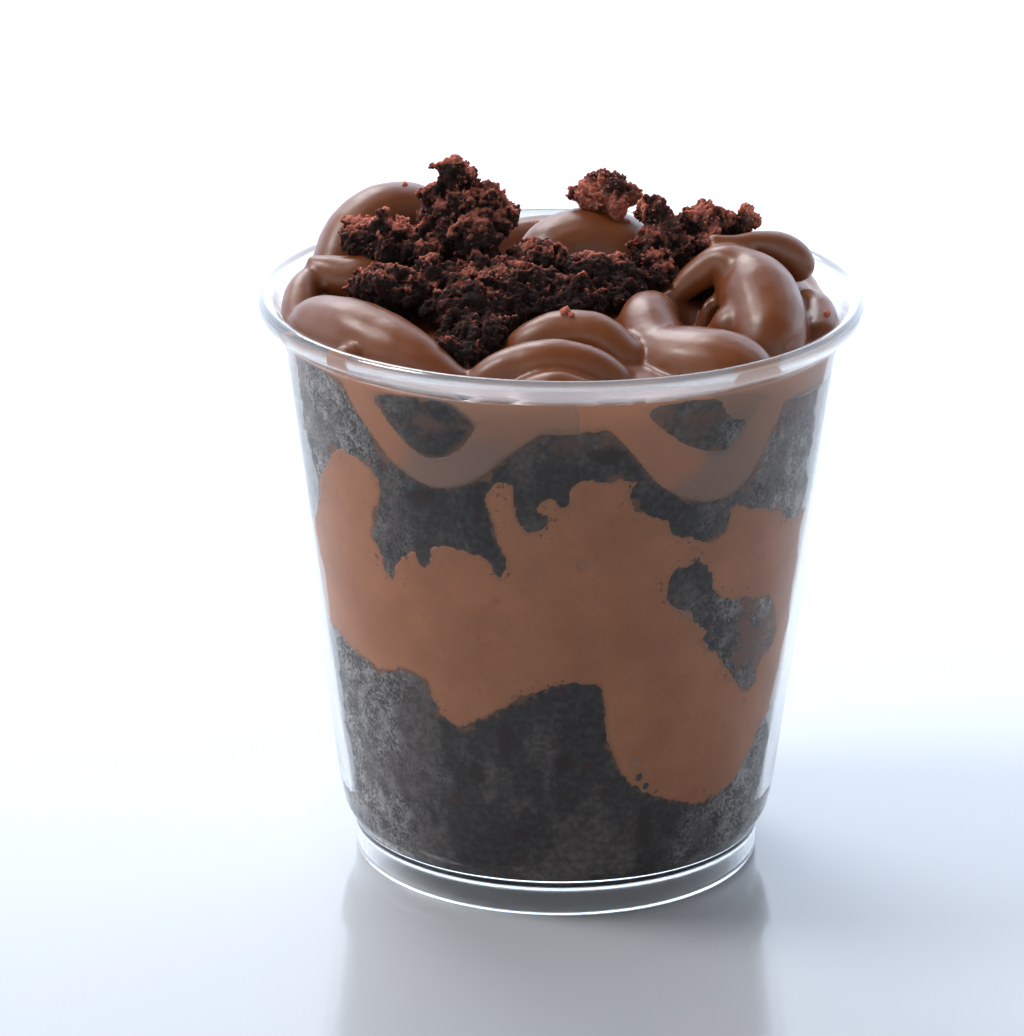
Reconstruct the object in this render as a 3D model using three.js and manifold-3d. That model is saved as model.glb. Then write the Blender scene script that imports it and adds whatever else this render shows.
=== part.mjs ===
import * as THREE from 'three';
import { mergeVertices } from 'three/addons/utils/BufferGeometryUtils.js';
import Module from 'manifold-3d';

// A dessert served in a short clear plastic cup: cake, mousse, cake, piped frosting, crumbled cake.
// Millimetres, z up from the table, the front of the cup towards -y.
// Angles go round the cup in degrees from the front, positive towards +x.

// Cup
const rimHeight = 74.5;
const lipRadius = 38.1;
const lipHeight = 3.9;
const wallTopRadius = 35.86;
const wallLowRadius = 28.04;
const wallLowHeight = 10;
const wallThickness = 1.2;
const footRadius = 25.9;
const footHeight = 5;
const footWidth = 2;
const floorTop = 5.2;
const floorUnder = 3.8;
const cupSides = 44;

// Filling
const gap = 0.3;
const fillSides = 44;
const fillTop = 100;
const outerReach = 45;
const wallBand = 28;
const frostingFloor = 62;
const frostingLevel = 72.4;
const ropeInset = 1.2;
const ropeRadius = 2.6;
const ropeSides = 5;
const ropeSteps = 50;
const beadSides = 7;
const beadRowLength = 3.6;
const seed = 41;

// Where each layer ends: its height in the middle, how it runs round the back of the wall,
// and the edge that shows on the front of the wall, as [angle, height]
const baseCakeTop = { middle: 28, back: 29, swing: 4, waves: 2.5, front: [
  [-85, 33.5], [-68, 34], [-58, 32.5], [-46, 31.2], [-38, 32.6], [-32.5, 31.2], [-29, 27.2], [-25, 26.2],
  [-19, 27.4], [-11, 30.1], [-2, 32.7], [9, 33], [11, 30], [12.4, 25], [16, 20.5], [20, 18.4], [26, 16.5],
  [33, 15], [40, 14.1], [48, 14.6], [54, 16.4], [61, 20.9], [68, 23.5], [78, 23.8],
] };
const mousseTop = { middle: 52, back: 54, swing: 4.5, waves: 3, front: [
  [-85, 44], [-68, 49], [-62, 54.7], [-56, 58.4], [-50, 60.4], [-46, 60.2], [-42.6, 57.6], [-41.6, 50],
  [-39, 45.4], [-34.5, 48.6], [-31, 46.8], [-26, 50.2], [-17.5, 50.2], [-15, 48.4], [-14.6, 57.6],
  [-12.4, 60], [-10, 59.2], [-7.6, 54.4], [-3.6, 54.2], [-2.4, 57.2], [2, 59.6], [8, 61.3], [15.6, 60.3],
  [17.4, 56.6], [27, 52.3], [38, 51.2], [41, 54.6], [51, 53], [61, 50], [69, 50.7], [80, 50],
] };
const upperCakeTop = { middle: 69, back: 69, swing: 1.2, waves: 2, front: [
  [-80, 70], [-62, 70.8], [-52, 70.4], [-44, 69.6], [-30, 70.6], [-20, 70], [-12, 68.5], [0, 67.8],
  [9, 68], [16, 70], [28, 71], [42, 69.5], [54, 67.5], [70, 67.5], [80, 68],
] };

// One hanging loop of piped rope on the inside of the wall, as [angle from its middle, height]
const ropeLoop = [
  [-24, 70.4], [-16, 68.6], [-11.5, 64.6], [-6, 61.4], [3, 60.2], [10, 62], [16, 65.8], [22.5, 69.4],
];
const ropeLoopMiddles = [-31, 36, 105, 178, 252];
const ropeLoopDrops = [0, -0.8, 1, -0.4, 0.6];

// Piped beads above the rim: places along each one, with its girth there
const beads = [
  { name: 'back left arch', path: [[-28.4, 5, 69.6, 3.4], [-27.9, 9.6, 75.4, 3.9], [-24.6, 13.2, 78.6, 4.5],
    [-18.8, 16, 78.6, 4.6], [-11, 17, 71, 4.4]] },
  { name: 'left middle', path: [[-32, 1, 78.2, 1.2], [-30.2, 0.6, 76.9, 2.3], [-27.4, 0, 75.7, 3.2],
    [-23.5, 0, 75.2, 3.6], [-18, 1, 73, 3.4]] },
  { name: 'left upright', path: [[-31.2, 1, 76.2, 1.8], [-32.4, -3, 74.4, 2.4], [-32.4, -8, 71.4, 2.6],
    [-31.2, -12, 68, 2.5]] },
  { name: 'front left', path: [[-32, -7.5, 70.4, 2.6], [-29.8, -11.5, 73.2, 3.8], [-25.6, -16.5, 73.6, 4.3],
    [-20.6, -21, 72.8, 4.2], [-15.5, -25, 71.4, 3.3], [-11, -28, 69.6, 2.2]] },
  { name: 'front arch', path: [[-11.4, -27, 68.6, 2.5], [-7.3, -27, 72, 2.8], [-1.8, -27, 73.7, 2.9],
    [3.6, -27, 72.6, 2.9], [8.4, -27, 69.2, 2.7]] },
  { name: 'arc at the glass', path: [[-6, -31, 69.4, 2.3], [-0.6, -31.2, 71.6, 2.3], [5, -31, 69.6, 2.3]] },
  { name: 'second arch', path: [[-6, -18, 70, 3], [-3.1, -19, 73.4, 3.2], [0.9, -19, 74.5, 3.3],
    [5.4, -20, 73.7, 3.2], [9.8, -22, 70.4, 2.7]] },
  { name: 'right ribbon', path: [[12.4, -6, 70.5, 2.5], [11.3, -9.8, 73.8, 3.5], [10.9, -13.4, 73.4, 4],
    [12.4, -18.2, 71, 4.9], [16.5, -21.8, 71, 5.5], [21.2, -23.8, 70.8, 5.4], [26, -25, 69.6, 3.8]] },
  { name: 'right loop', path: [[11.6, -4, 73.4, 1.2], [14.4, -3.4, 75.2, 1.6], [17, -3, 77.4, 2.1],
    [19.6, -3, 79, 2.5], [22.4, -4, 77.6, 4.1], [24.6, -7, 75.8, 5.1], [25.6, -12, 73, 4.8],
    [25.2, -18, 70.5, 3.5]] },
  { name: 'fold of the loop', path: [[25.4, -9, 74.6, 3.4], [22, -10.6, 73.6, 3], [19.4, -12.6, 71.6, 2.4]] },
  { name: 'back right crest', path: [[18.2, -1.2, 81.5, 1.1], [21.3, -0.6, 80.9, 1.2], [24.2, 1, 80.3, 1.7],
    [27, 2.6, 79.3, 2.3], [29.4, 3, 77.6, 2.4], [30, 1.5, 75.4, 2.1]] },
  { name: 'under the crest', path: [[20, 8, 73, 4], [24.5, 8.5, 75, 4], [28.5, 6, 73.4, 4]] },
  { name: 'right wall', path: [[30.4, 1, 73.4, 2], [32, -4, 72.9, 2.4], [32, -11, 70.6, 2.7]] },
  { name: 'back dome', path: [[-5, 7, 73.6, 4.6], [0.8, 10, 76.2, 5.5], [6, 10, 76.4, 5.5], [12, 7.4, 73.6, 5]] },
  { name: 'far side', path: [[-14, 20.4, 71.6, 3.6], [-6, 22.4, 73.4, 3.9], [2, 22, 73.8, 4], [9, 20.4, 73, 4],
    [15, 16.6, 71, 3.6]] },
];

// Lumps of cake: middle and half sizes
const sideChunkLumps = [
  { angle: 31, height: 45.6, size: [4, 3.6, 3.2] },
  { angle: 40.5, height: 40.6, size: [4.2, 4.4, 3.3] },
  { angle: 52, height: 37.2, size: [4.2, 4.6, 4.4] },
  { angle: 52, height: 32, size: [3.6, 2.6, 3.8] },
];
const heapLumps = [
  { at: [-9, -6, 75.4], size: [12, 9.5, 4.6] },
  { at: [-12.5, 3, 82.4], size: [6, 5.2, 6.6] },
  { at: [-13.2, 3, 87.9], size: [3, 2.8, 3.3] },
  { at: [-8.6, 3, 84], size: [3.5, 3.6, 3.6] },
  { at: [-16.6, 3, 83.2], size: [2.6, 3, 3.8] },
  { at: [-23.4, 2, 80.4], size: [4.9, 4, 3.4] },
  { at: [-17.6, 0, 79], size: [3.6, 4, 3.2] },
  { at: [-21.4, -11, 77.4], size: [5.4, 4.2, 3.2] },
  { at: [-12, -12, 76.2], size: [5.6, 5, 3.2] },
  { at: [-4.4, -9, 77.2], size: [4.6, 4.8, 3.4] },
  { at: [-2.6, -2, 78.4], size: [4.8, 5, 3.4] },
  { at: [3.2, -6, 76.8], size: [5, 4.6, 3.2] },
  { at: [7.4, -8.6, 74.6], size: [3, 3.6, 2.4] },
  { at: [-10.4, -16.8, 74.2], size: [4.6, 5, 2.8] },
];
const rightPileLumps = [
  { at: [13.4, 2.6, 79], size: [4.2, 4, 4.6] },
  { at: [11.6, 4, 83.6], size: [2.3, 2.3, 2.3] },
  { at: [17.8, 4.6, 81.4], size: [4, 3.6, 3] },
  { at: [21.8, 4.4, 81.4], size: [2.2, 2.4, 2.2] },
];
const backCrumbLumps = [
  { at: [5.3, 11, 84.2], size: [3.6, 3.2, 3] },
  { at: [8.3, 11, 84], size: [1.8, 1.8, 1.6] },
  { at: [2.8, 11, 83.4], size: [1.8, 1.8, 1.4] },
];
const cragShare = 0.16;
const fineLump = 7;
const chunkSeed = 1;
const heapSeed = 10;
const rightPileSeed = 30;
const backCrumbSeed = 40;
const nuggetsPerLump = 1;
const nuggetSize = 1.3;

const wasm = await Module();
wasm.setup();
const { degToRad, lerp, clamp } = THREE.MathUtils;

function seededDraws(start) {
  let state = start;
  return () => {
    state = (Math.imul(state, 1664525) + 1013904223) >>> 0;
    return state / 4294967296;
  };
}

function solidFrom(geometry) {
  geometry.deleteAttribute('normal');
  geometry.deleteAttribute('uv');
  const merged = mergeVertices(geometry, 1e-4);
  const corners = merged.index.array;
  const kept = [];
  for (let i = 0; i < corners.length; i += 3) {
    const [a, b, c] = [corners[i], corners[i + 1], corners[i + 2]];
    if (a !== b && b !== c && c !== a) kept.push(a, b, c);
  }
  const positions = new Float32Array(merged.attributes.position.array);
  const mesh = new wasm.Mesh({ numProp: 3, vertProperties: positions, triVerts: new Uint32Array(kept) });
  return new wasm.Manifold(mesh);
}

// The largest body; hollows that fusing seals are filled and loose scraps dropped
function oneBody(solid) {
  const bodies = solid.decompose().sort((a, b) => b.volume() - a.volume());
  return bodies[0];
}

function fuse(solids) {
  return solids.reduce((all, next) => all.add(next));
}

function turned(profile, sides) {
  const points = profile.map(([r, z]) => new THREE.Vector2(r, z));
  const geometry = new THREE.LatheGeometry(points, sides);
  geometry.rotateX(Math.PI / 2);
  return solidFrom(geometry);
}

function wallRadius(z) {
  const rise = (z - wallLowHeight) / (rimHeight - lipHeight - wallLowHeight);
  return lerp(wallLowRadius, wallTopRadius, rise) - wallThickness;
}

function around(angle, radius, z) {
  const turn = degToRad(angle);
  return new THREE.Vector3(radius * Math.sin(turn), -radius * Math.cos(turn), z);
}

// Carries a front edge on round the back of the cup, towards a level and with a slow wave
function closedEdge({ front, back, swing, waves }) {
  const [startAngle, startHeight] = front[0];
  const [endAngle, endHeight] = front[front.length - 1];
  const steps = 16;
  const edge = front.map(([angle, height]) => ({ angle, height }));
  for (let i = 1; i < steps; i++) {
    const share = i / steps;
    const away = Math.sin(Math.PI * share);
    const wave = swing * away * Math.sin(2 * Math.PI * waves * share);
    const height = lerp(lerp(endHeight, startHeight, share), back, away) + wave;
    edge.push({ angle: lerp(endAngle, startAngle + 360, share), height });
  }
  return edge;
}

// Moves an edge along its own upright on the wall, keeping each straight run parallel to itself
function shiftedEdge(edge, shift) {
  const count = edge.length;
  const millimetresPerDegree = degToRad(wallRadius(45));
  const upright = (from, to) => {
    const span = (to.angle - from.angle + 360) % 360;
    return new THREE.Vector2(from.height - to.height, span * millimetresPerDegree).normalize();
  };
  return edge.map((point, i) => {
    const before = upright(edge[(i + count - 1) % count], point);
    const after = upright(point, edge[(i + 1) % count]);
    const out = before.clone().add(after).normalize();
    out.multiplyScalar(shift / Math.max(0.3, out.dot(before)));
    return { angle: point.angle + out.x / millimetresPerDegree, height: point.height + out.y };
  });
}

// Everything below an edge: level with it near the wall, easing to one height in the middle
function below(layerTop, shift) {
  const rim = shiftedEdge(closedEdge(layerTop), shift);
  const { middle } = layerTop;
  const rows = [[0, -5, 0], [outerReach, -5, 0], [outerReach, middle, 1], [wallBand, middle, 1],
    [wallBand * 0.7, middle, 0.45], [wallBand * 0.35, middle, 0.1], [0, middle, 0]];
  const points = rows.map(([r, z]) => new THREE.Vector2(r, z));
  const geometry = new THREE.LatheGeometry(points, rim.length);
  const position = geometry.attributes.position;
  for (let i = 0; i < position.count; i++) {
    const [radius, z, follow] = rows[i % rows.length];
    const { angle, height } = rim[Math.floor(i / rows.length) % rim.length];
    const rise = z < 0 ? 0 : shift * (1 - follow) + follow * (height - middle);
    const place = around(angle, radius, z + rise);
    position.setXYZ(i, place.x, place.y, place.z);
  }
  return solidFrom(geometry);
}

function smoothPath(places, closed) {
  return new THREE.CatmullRomCurve3(places, closed, 'centripetal');
}

// A piped bead with round ends, run along its path
function bead(path, grow) {
  const curve = smoothPath(path.map(([x, y, z]) => new THREE.Vector3(x, y, z)), false);
  const girthAt = (share) => {
    const step = curve.getUtoTmapping(share) * (path.length - 1);
    const from = Math.min(Math.floor(step), path.length - 2);
    return lerp(path[from][3], path[from + 1][3], step - from);
  };
  const length = curve.getLength();
  const rows = Math.max(6, Math.round(length / beadRowLength));
  const frames = curve.computeFrenetFrames(rows, false);
  const geometry = new THREE.SphereGeometry(1, beadSides, rows);
  const position = geometry.attributes.position;
  const spot = new THREE.Vector3();
  for (let i = 0; i < position.count; i++) {
    const row = Math.floor(i / (beadSides + 1));
    const share = row / rows;
    const turn = 2 * Math.PI * (i % (beadSides + 1)) / beadSides;
    const girth = girthAt(share);
    const toEnd = Math.min(share, 1 - share) * length / girth;
    const swell = Math.sqrt(1 - (1 - clamp(toEnd, 0, 1)) ** 2);
    const thickness = (girth + grow) * swell;
    spot.copy(curve.getPointAt(share));
    if (row === 0) spot.addScaledVector(frames.tangents[0], -grow);
    if (row === rows) spot.addScaledVector(frames.tangents[rows], grow);
    spot.addScaledVector(frames.normals[row], thickness * Math.cos(turn));
    spot.addScaledVector(frames.binormals[row], thickness * Math.sin(turn));
    position.setXYZ(i, spot.x, spot.y, spot.z);
  }
  return rightWayOut(geometry);
}

function rightWayOut(geometry) {
  const solid = solidFrom(geometry);
  return solid.volume() < 0 ? solidFrom(flipped(geometry)) : solid;
}

function flipped(geometry) {
  const turnedOver = geometry.clone();
  const corners = turnedOver.index.array;
  for (let i = 0; i < corners.length; i += 3) {
    [corners[i + 1], corners[i + 2]] = [corners[i + 2], corners[i + 1]];
  }
  return turnedOver;
}

function hangingRope(grow) {
  const places = [];
  ropeLoopMiddles.forEach((middle, i) => {
    ropeLoop.forEach(([offset, height]) => {
      const lowered = height + ropeLoopDrops[i] * (71 - height) / 10;
      places.push(around(middle + offset, wallRadius(lowered) - ropeInset, lowered));
    });
  });
  const curve = smoothPath(places, true);
  const geometry = new THREE.TubeGeometry(curve, ropeSteps, ropeRadius + grow, ropeSides, true);
  return rightWayOut(geometry);
}

// A craggy lump of cake with smaller nuggets fused to it
function lump(spec, number, detail, nuggets, grow) {
  const draw = seededDraws(seed + 97 * number);
  const middle = new THREE.Vector3(...spec.at);
  const crag = (size, at, level) => {
    const ball = new THREE.IcosahedronGeometry(1, level);
    ball.deleteAttribute('normal');
    ball.deleteAttribute('uv');
    const geometry = mergeVertices(ball, 1e-4);
    const position = geometry.attributes.position;
    for (let i = 0; i < position.count; i++) {
      const reach = 1 + cragShare * (2 * draw() - 1);
      position.setXYZ(i,
        at.x + position.getX(i) * (size[0] * reach + grow),
        at.y + position.getY(i) * (size[1] * reach + grow),
        at.z + position.getZ(i) * (size[2] * reach + grow));
    }
    return solidFrom(geometry);
  };
  const solids = [crag(spec.size, middle, detail)];
  for (let i = 0; i < nuggets; i++) {
    const turn = 2 * Math.PI * draw();
    const height = -0.2 + 1.1 * draw();
    const flat = Math.sqrt(1 - height * height);
    const out = new THREE.Vector3(Math.cos(turn) * flat, Math.sin(turn) * flat, height);
    out.multiply(new THREE.Vector3(...spec.size)).multiplyScalar(0.92);
    const size = nuggetSize * (0.7 + 0.6 * draw());
    solids.push(crag([size, size, size * 0.85], out.add(middle), 0));
  }
  return fuse(solids);
}

function pile(lumps, firstNumber, nuggets, grow) {
  return fuse(lumps.map((spec, i) => {
    const detail = spec.size[0] > fineLump ? 2 : 1;
    return lump(spec, firstNumber + i, detail, nuggets, grow);
  }));
}

function finished(name, solid, look) {
  const { vertProperties, triVerts } = oneBody(solid).getMesh();
  const geometry = new THREE.BufferGeometry();
  geometry.setAttribute('position', new THREE.BufferAttribute(vertProperties, 3));
  geometry.setIndex(new THREE.BufferAttribute(triVerts, 1));
  geometry.computeVertexNormals();
  const mesh = new THREE.Mesh(geometry, new THREE.MeshStandardMaterial({ metalness: 0, ...look }));
  mesh.name = name;
  return mesh;
}

// The cup: floor, hollow foot ring, tapered wall and flared lip
const wallTop = rimHeight - lipHeight;
const cup = turned([
  [0, floorUnder],
  [footRadius - footWidth - 0.6, floorUnder],
  [footRadius - footWidth, floorUnder - 0.6],
  [footRadius - footWidth, 0],
  [footRadius - 0.5, 0],
  [footRadius, 0.5],
  [footRadius + 0.1, footHeight - 0.4],
  [footRadius + 0.7, footHeight + 0.5],
  [wallLowRadius - 0.7, footHeight + 1.8],
  [wallLowRadius, wallLowHeight],
  [wallTopRadius, wallTop],
  [wallTopRadius + 0.9, wallTop + 1.6],
  [lipRadius, rimHeight - 1.1],
  [lipRadius, rimHeight - 0.4],
  [lipRadius - 0.6, rimHeight],
  [lipRadius - 1.5, rimHeight - 0.5],
  [wallTopRadius - 0.1, wallTop + 2.2],
  [wallRadius(wallTop), wallTop],
  [wallRadius(wallLowHeight), wallLowHeight],
  [wallRadius(wallLowHeight) - 0.8, 7],
  [footRadius - 1.8, floorTop],
  [0, floorTop],
], cupSides);

// The room inside the cup, clear of the wall
const room = turned([
  [0, floorTop + gap],
  [footRadius - 2, floorTop + gap],
  [wallRadius(wallLowHeight) - 0.8 - gap, 7.1],
  [wallRadius(wallLowHeight) - gap, wallLowHeight],
  [wallRadius(wallTop) - gap, wallTop],
  [wallRadius(wallTop) - gap, fillTop],
  [0, fillTop],
], fillSides);

const chunkLumps = sideChunkLumps.map(({ angle, height, size }) => {
  return { at: around(angle, wallRadius(height) - 0.6, height).toArray(), size };
});
const sideChunk = pile(chunkLumps, chunkSeed, 0, 0).intersect(room);

const baseCake = room.intersect(below(baseCakeTop, -gap / 2));
const mousse = room.intersect(below(mousseTop, -gap / 2))
  .subtract(below(baseCakeTop, gap / 2))
  .subtract(pile(chunkLumps, chunkSeed, 0, gap));

const piping = (grow) => {
  return fuse([hangingRope(grow), ...beads.map(({ path }) => bead(path, grow))]);
};
const frostingBed = (grow) => turned([
  [0, frostingFloor],
  [outerReach, frostingFloor],
  [outerReach, frostingLevel - 1.4 + grow],
  [wallBand, frostingLevel - 0.4 + grow],
  [wallBand * 0.6, frostingLevel + 1.4 + grow],
  [0, frostingLevel + 1.8 + grow],
], fillSides / 2).subtract(below(upperCakeTop, gap / 2));

const upperCake = room.intersect(below(upperCakeTop, -gap / 2))
  .subtract(below(mousseTop, gap / 2))
  .subtract(piping(gap));
const frosting = room.intersect(frostingBed(0).add(piping(0)));
const frostingRoom = frostingBed(gap).add(piping(gap));

const backCrumb = pile(backCrumbLumps, backCrumbSeed, 0, 0).subtract(frostingRoom);
const rightPile = pile(rightPileLumps, rightPileSeed, nuggetsPerLump, 0)
  .subtract(frostingRoom)
  .subtract(pile(backCrumbLumps, backCrumbSeed, 0, gap));
const heap = pile(heapLumps, heapSeed, nuggetsPerLump, 0)
  .subtract(frostingRoom)
  .subtract(pile(rightPileLumps, rightPileSeed, nuggetsPerLump, gap))
  .subtract(pile(backCrumbLumps, backCrumbSeed, 0, gap))
  .intersect(room);

const dessert = new THREE.Group();
dessert.name = 'chocolate_cake_cup';
dessert.add(finished('cup', cup, { color: 0xe6edf2, roughness: 0.06, transparent: true, opacity: 0.35 }));
dessert.add(finished('cake_base', baseCake, { color: 0x2c2220, roughness: 0.95 }));
dessert.add(finished('mousse_layer', mousse, { color: 0x7a5240, roughness: 0.6 }));
dessert.add(finished('cake_chunk', sideChunk, { color: 0x2a201e, roughness: 0.95 }));
dessert.add(finished('cake_upper', upperCake, { color: 0x2c2220, roughness: 0.95 }));
dessert.add(finished('frosting', frosting, { color: 0x865d49, roughness: 0.42 }));
dessert.add(finished('crumble_heap', heap, { color: 0x2e1714, roughness: 0.95 }));
dessert.add(finished('crumble_right', rightPile, { color: 0x2e1714, roughness: 0.95 }));
dessert.add(finished('crumble_back', backCrumb, { color: 0x3d1f18, roughness: 0.95 }));

export default dessert;
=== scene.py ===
import math

import bmesh
import bpy
import numpy as np
from mathutils import Matrix, Vector, noise
from mathutils.bvhtree import BVHTree


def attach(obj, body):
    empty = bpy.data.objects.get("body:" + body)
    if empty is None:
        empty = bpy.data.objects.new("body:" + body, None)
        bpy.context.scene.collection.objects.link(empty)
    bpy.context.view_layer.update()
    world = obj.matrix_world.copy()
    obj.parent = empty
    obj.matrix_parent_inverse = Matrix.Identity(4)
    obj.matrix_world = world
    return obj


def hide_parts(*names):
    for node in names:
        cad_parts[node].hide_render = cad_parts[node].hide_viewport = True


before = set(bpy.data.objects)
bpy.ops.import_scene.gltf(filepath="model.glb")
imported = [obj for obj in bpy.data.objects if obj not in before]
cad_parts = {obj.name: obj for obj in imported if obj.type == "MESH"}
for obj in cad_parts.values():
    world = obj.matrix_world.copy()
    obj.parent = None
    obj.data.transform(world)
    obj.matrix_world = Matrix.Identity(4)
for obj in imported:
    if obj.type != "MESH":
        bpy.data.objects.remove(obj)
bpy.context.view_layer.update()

# Layered chocolate cake in a clear plastic cup. Sizes are in millimetres until a mesh is made.
# Angles go round the cup in degrees from the front (-Y), positive towards +X.

mm = 0.001
body = "root"


# Shader and node sums as Python expressions

class Wire:
    def __init__(self, tree, socket=None):
        self.tree = tree
        self.socket = socket

    def add(self, kind, settings=None, inputs=None, output=0):
        node = self.tree.nodes.new(kind)
        for name, value in (settings or {}).items():
            setattr(node, name, value)
        for name, value in (inputs or {}).items():
            socket = self.pick(node.inputs, name)
            if isinstance(value, Wire):
                self.tree.links.new(value.socket, socket)
            else:
                socket.default_value = value
        return Wire(self.tree, self.pick(node.outputs, output))

    @staticmethod
    def pick(sockets, name):
        if isinstance(name, int):
            return sockets[name]
        return next(s for s in sockets if name in (s.identifier, s.name))

    def out(self, name):
        return Wire(self.tree, self.pick(self.socket.node.outputs, name))

    def axis(self, name):
        return self.add("ShaderNodeSeparateXYZ", None, {0: self}, name)

    def sum(self, operation, first, second):
        return self.add("ShaderNodeMath", {"operation": operation}, {0: first, 1: second})

    def __add__(self, other):
        return self.sum("ADD", self, other)

    def __radd__(self, other):
        return self.sum("ADD", other, self)

    def __sub__(self, other):
        return self.sum("SUBTRACT", self, other)

    def __rsub__(self, other):
        return self.sum("SUBTRACT", other, self)

    def __mul__(self, other):
        return self.sum("MULTIPLY", self, other)

    def __rmul__(self, other):
        return self.sum("MULTIPLY", other, self)

    def ramp(self, low, high):
        return self.add("ShaderNodeMapRange", {"interpolation_type": "SMOOTHSTEP"},
                        {"Value": self, "From Min": low, "From Max": high})

    def mix(self, first, second):
        return self.add("ShaderNodeMix", {"data_type": "RGBA"},
                        {"Factor_Float": self, "A_Color": first, "B_Color": second}, "Result_Color")


def rgb(red, green, blue):
    return (red, green, blue, 1.0)


def newMaterial(name, **constants):
    material = bpy.data.materials.new(name)
    material.use_nodes = True
    tree = material.node_tree
    shader = tree.nodes["Principled BSDF"]
    for socket, value in constants.items():
        shader.inputs[socket.replace("_", " ")].default_value = value
    place = Wire(tree).add("ShaderNodeTexCoord", output="Object")
    return material, shader, place


def feed(shader, socket, wire):
    shader.id_data.links.new(wire.socket, shader.inputs[socket])


def noiseAt(place, size, detail=3.0, roughness=0.55):
    values = {"Vector": place, "Scale": 1 / (size * mm), "Detail": detail, "Roughness": roughness}
    return place.add("ShaderNodeTexNoise", None, values, "Fac")


def bump(height, strength, distance):
    return height.add("ShaderNodeBump", None,
                      {"Height": height, "Strength": strength, "Distance": distance * mm})


def pointValue(place, name):
    return place.add("ShaderNodeAttribute", {"attribute_name": name}, None, "Fac")


def backHalf(place):
    # 0 at the front of the cup and 1 at the back, used to paint the back darker as painted shade against the
    # stronger light from behind, and to keep the wiped smear at the front
    return place.axis("Y").ramp(-2 * mm, 14 * mm)


# Meshes and Geometry Nodes

def addObject(name, mesh):
    piece = bpy.data.objects.new(name, mesh)
    bpy.context.scene.collection.objects.link(piece)
    return piece


def meshFrom(name, points, faces, edges=()):
    mesh = bpy.data.meshes.new(name)
    mesh.from_pydata((np.asarray(points) * mm).tolist(), list(edges), list(faces))
    mesh.update()
    return mesh


def meshOf(name, build):
    mesh = bpy.data.meshes.new(name)
    build.to_mesh(mesh)
    build.free()
    return mesh


def getPoints(mesh):
    points = np.empty(len(mesh.vertices) * 3, np.float32)
    mesh.vertices.foreach_get("co", points)
    return points.reshape(-1, 3).astype(float) / mm


def setPoints(mesh, points):
    mesh.vertices.foreach_set("co", (points * mm).astype(np.float32).ravel())
    mesh.update()


def getNormals(mesh):
    normals = np.empty(len(mesh.vertices) * 3, np.float32)
    mesh.vertex_normals.foreach_get("vector", normals)
    return normals.reshape(-1, 3).astype(float)


def setValue(mesh, name, values):
    attribute = mesh.attributes.get(name) or mesh.attributes.new(name, "FLOAT", "POINT")
    attribute.data.foreach_set("value", np.asarray(values, np.float32))


def smoothFaces(mesh):
    mesh.polygons.foreach_set("use_smooth", [True] * len(mesh.polygons))
    mesh.update()


def dress(mesh, material):
    mesh.materials.clear()
    mesh.materials.append(material)
    mesh.polygons.foreach_set("material_index", [0] * len(mesh.polygons))


def bake(piece):
    view = bpy.context.evaluated_depsgraph_get()
    mesh = bpy.data.meshes.new_from_object(piece.evaluated_get(view))
    piece.modifiers.clear()
    old = piece.data
    piece.data = mesh
    bpy.data.meshes.remove(old)
    mesh.name = piece.name
    return mesh


def joinMeshes(name, pieces):
    build = bmesh.new()
    for piece in pieces:
        build.from_mesh(piece.data)
        bpy.data.objects.remove(piece)
    return addObject(name, meshOf(name, build))


def voxelRemesh(piece, size, smoothing=0):
    cut = piece.modifiers.new("voxels", "REMESH")
    cut.mode = "VOXEL"
    cut.voxel_size = size * mm
    if smoothing:
        soft = piece.modifiers.new("soften", "SMOOTH")
        soft.factor = 0.5
        soft.iterations = smoothing
    return bake(piece)


def newTree(name, inputs):
    tree = bpy.data.node_groups.new(name, "GeometryNodeTree")
    tree.interface.new_socket("Geometry", in_out="INPUT", socket_type="NodeSocketGeometry")
    for label, kind in inputs.items():
        tree.interface.new_socket(label, in_out="INPUT", socket_type="NodeSocket" + kind)
    tree.interface.new_socket("Geometry", in_out="OUTPUT", socket_type="NodeSocketGeometry")
    return tree, Wire(tree).add("NodeGroupInput")


def endTree(result, material):
    realized = result.add("GeometryNodeRealizeInstances", None, {"Geometry": result})
    dressed = realized.add("GeometryNodeSetMaterial", None, {"Geometry": realized, "Material": material})
    end = dressed.tree.nodes.new("NodeGroupOutput")
    dressed.tree.links.new(dressed.socket, end.inputs["Geometry"])


def runTree(piece, tree, values):
    modifier = piece.modifiers.new(tree.name, "NODES")
    modifier.node_group = tree
    for item in tree.interface.items_tree:
        if item.in_out == "INPUT" and item.name in values:
            modifier[item.identifier] = values[item.name]
    return bake(piece)


def finishPiece(piece, slot, *nodes):
    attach(piece, body)
    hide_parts(*nodes)
    print(piece.name, len(piece.data.polygons), "faces")


# Curves, noise and the cup's round wall

def smoothLine(points, steps):
    # Catmull-Rom through the points, evenly spaced by length
    points = np.asarray(points, float)
    padded = np.vstack([2 * points[0] - points[1], points, 2 * points[-1] - points[-2]])
    line = []
    for a, b, c, d in zip(padded, padded[1:], padded[2:], padded[3:]):
        for t in np.linspace(0, 1, 12, endpoint=False):
            line.append(0.5 * (2 * b + (c - a) * t + (2 * a - 5 * b + 4 * c - d) * t ** 2
                               + (3 * b - a - 3 * c + d) * t ** 3))
    line = np.array(line + [points[-1]])
    length = np.r_[0, np.cumsum(np.linalg.norm(np.diff(line[:, :3], axis=0), axis=1))]
    even = np.linspace(0, length[-1], steps)
    return np.column_stack([np.interp(even, length, line[:, k]) for k in range(line.shape[1])])


def smoothStep(value, low, high):
    share = np.clip((value - low) / (high - low), 0, 1)
    return share * share * (3 - 2 * share)


def roundNoise(points, size, octaves=3):
    # a number added to the points only takes the noise from another place
    return np.array([noise.fractal(p, 1.0, 2.0, octaves) for p in (points / size).tolist()])


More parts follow.
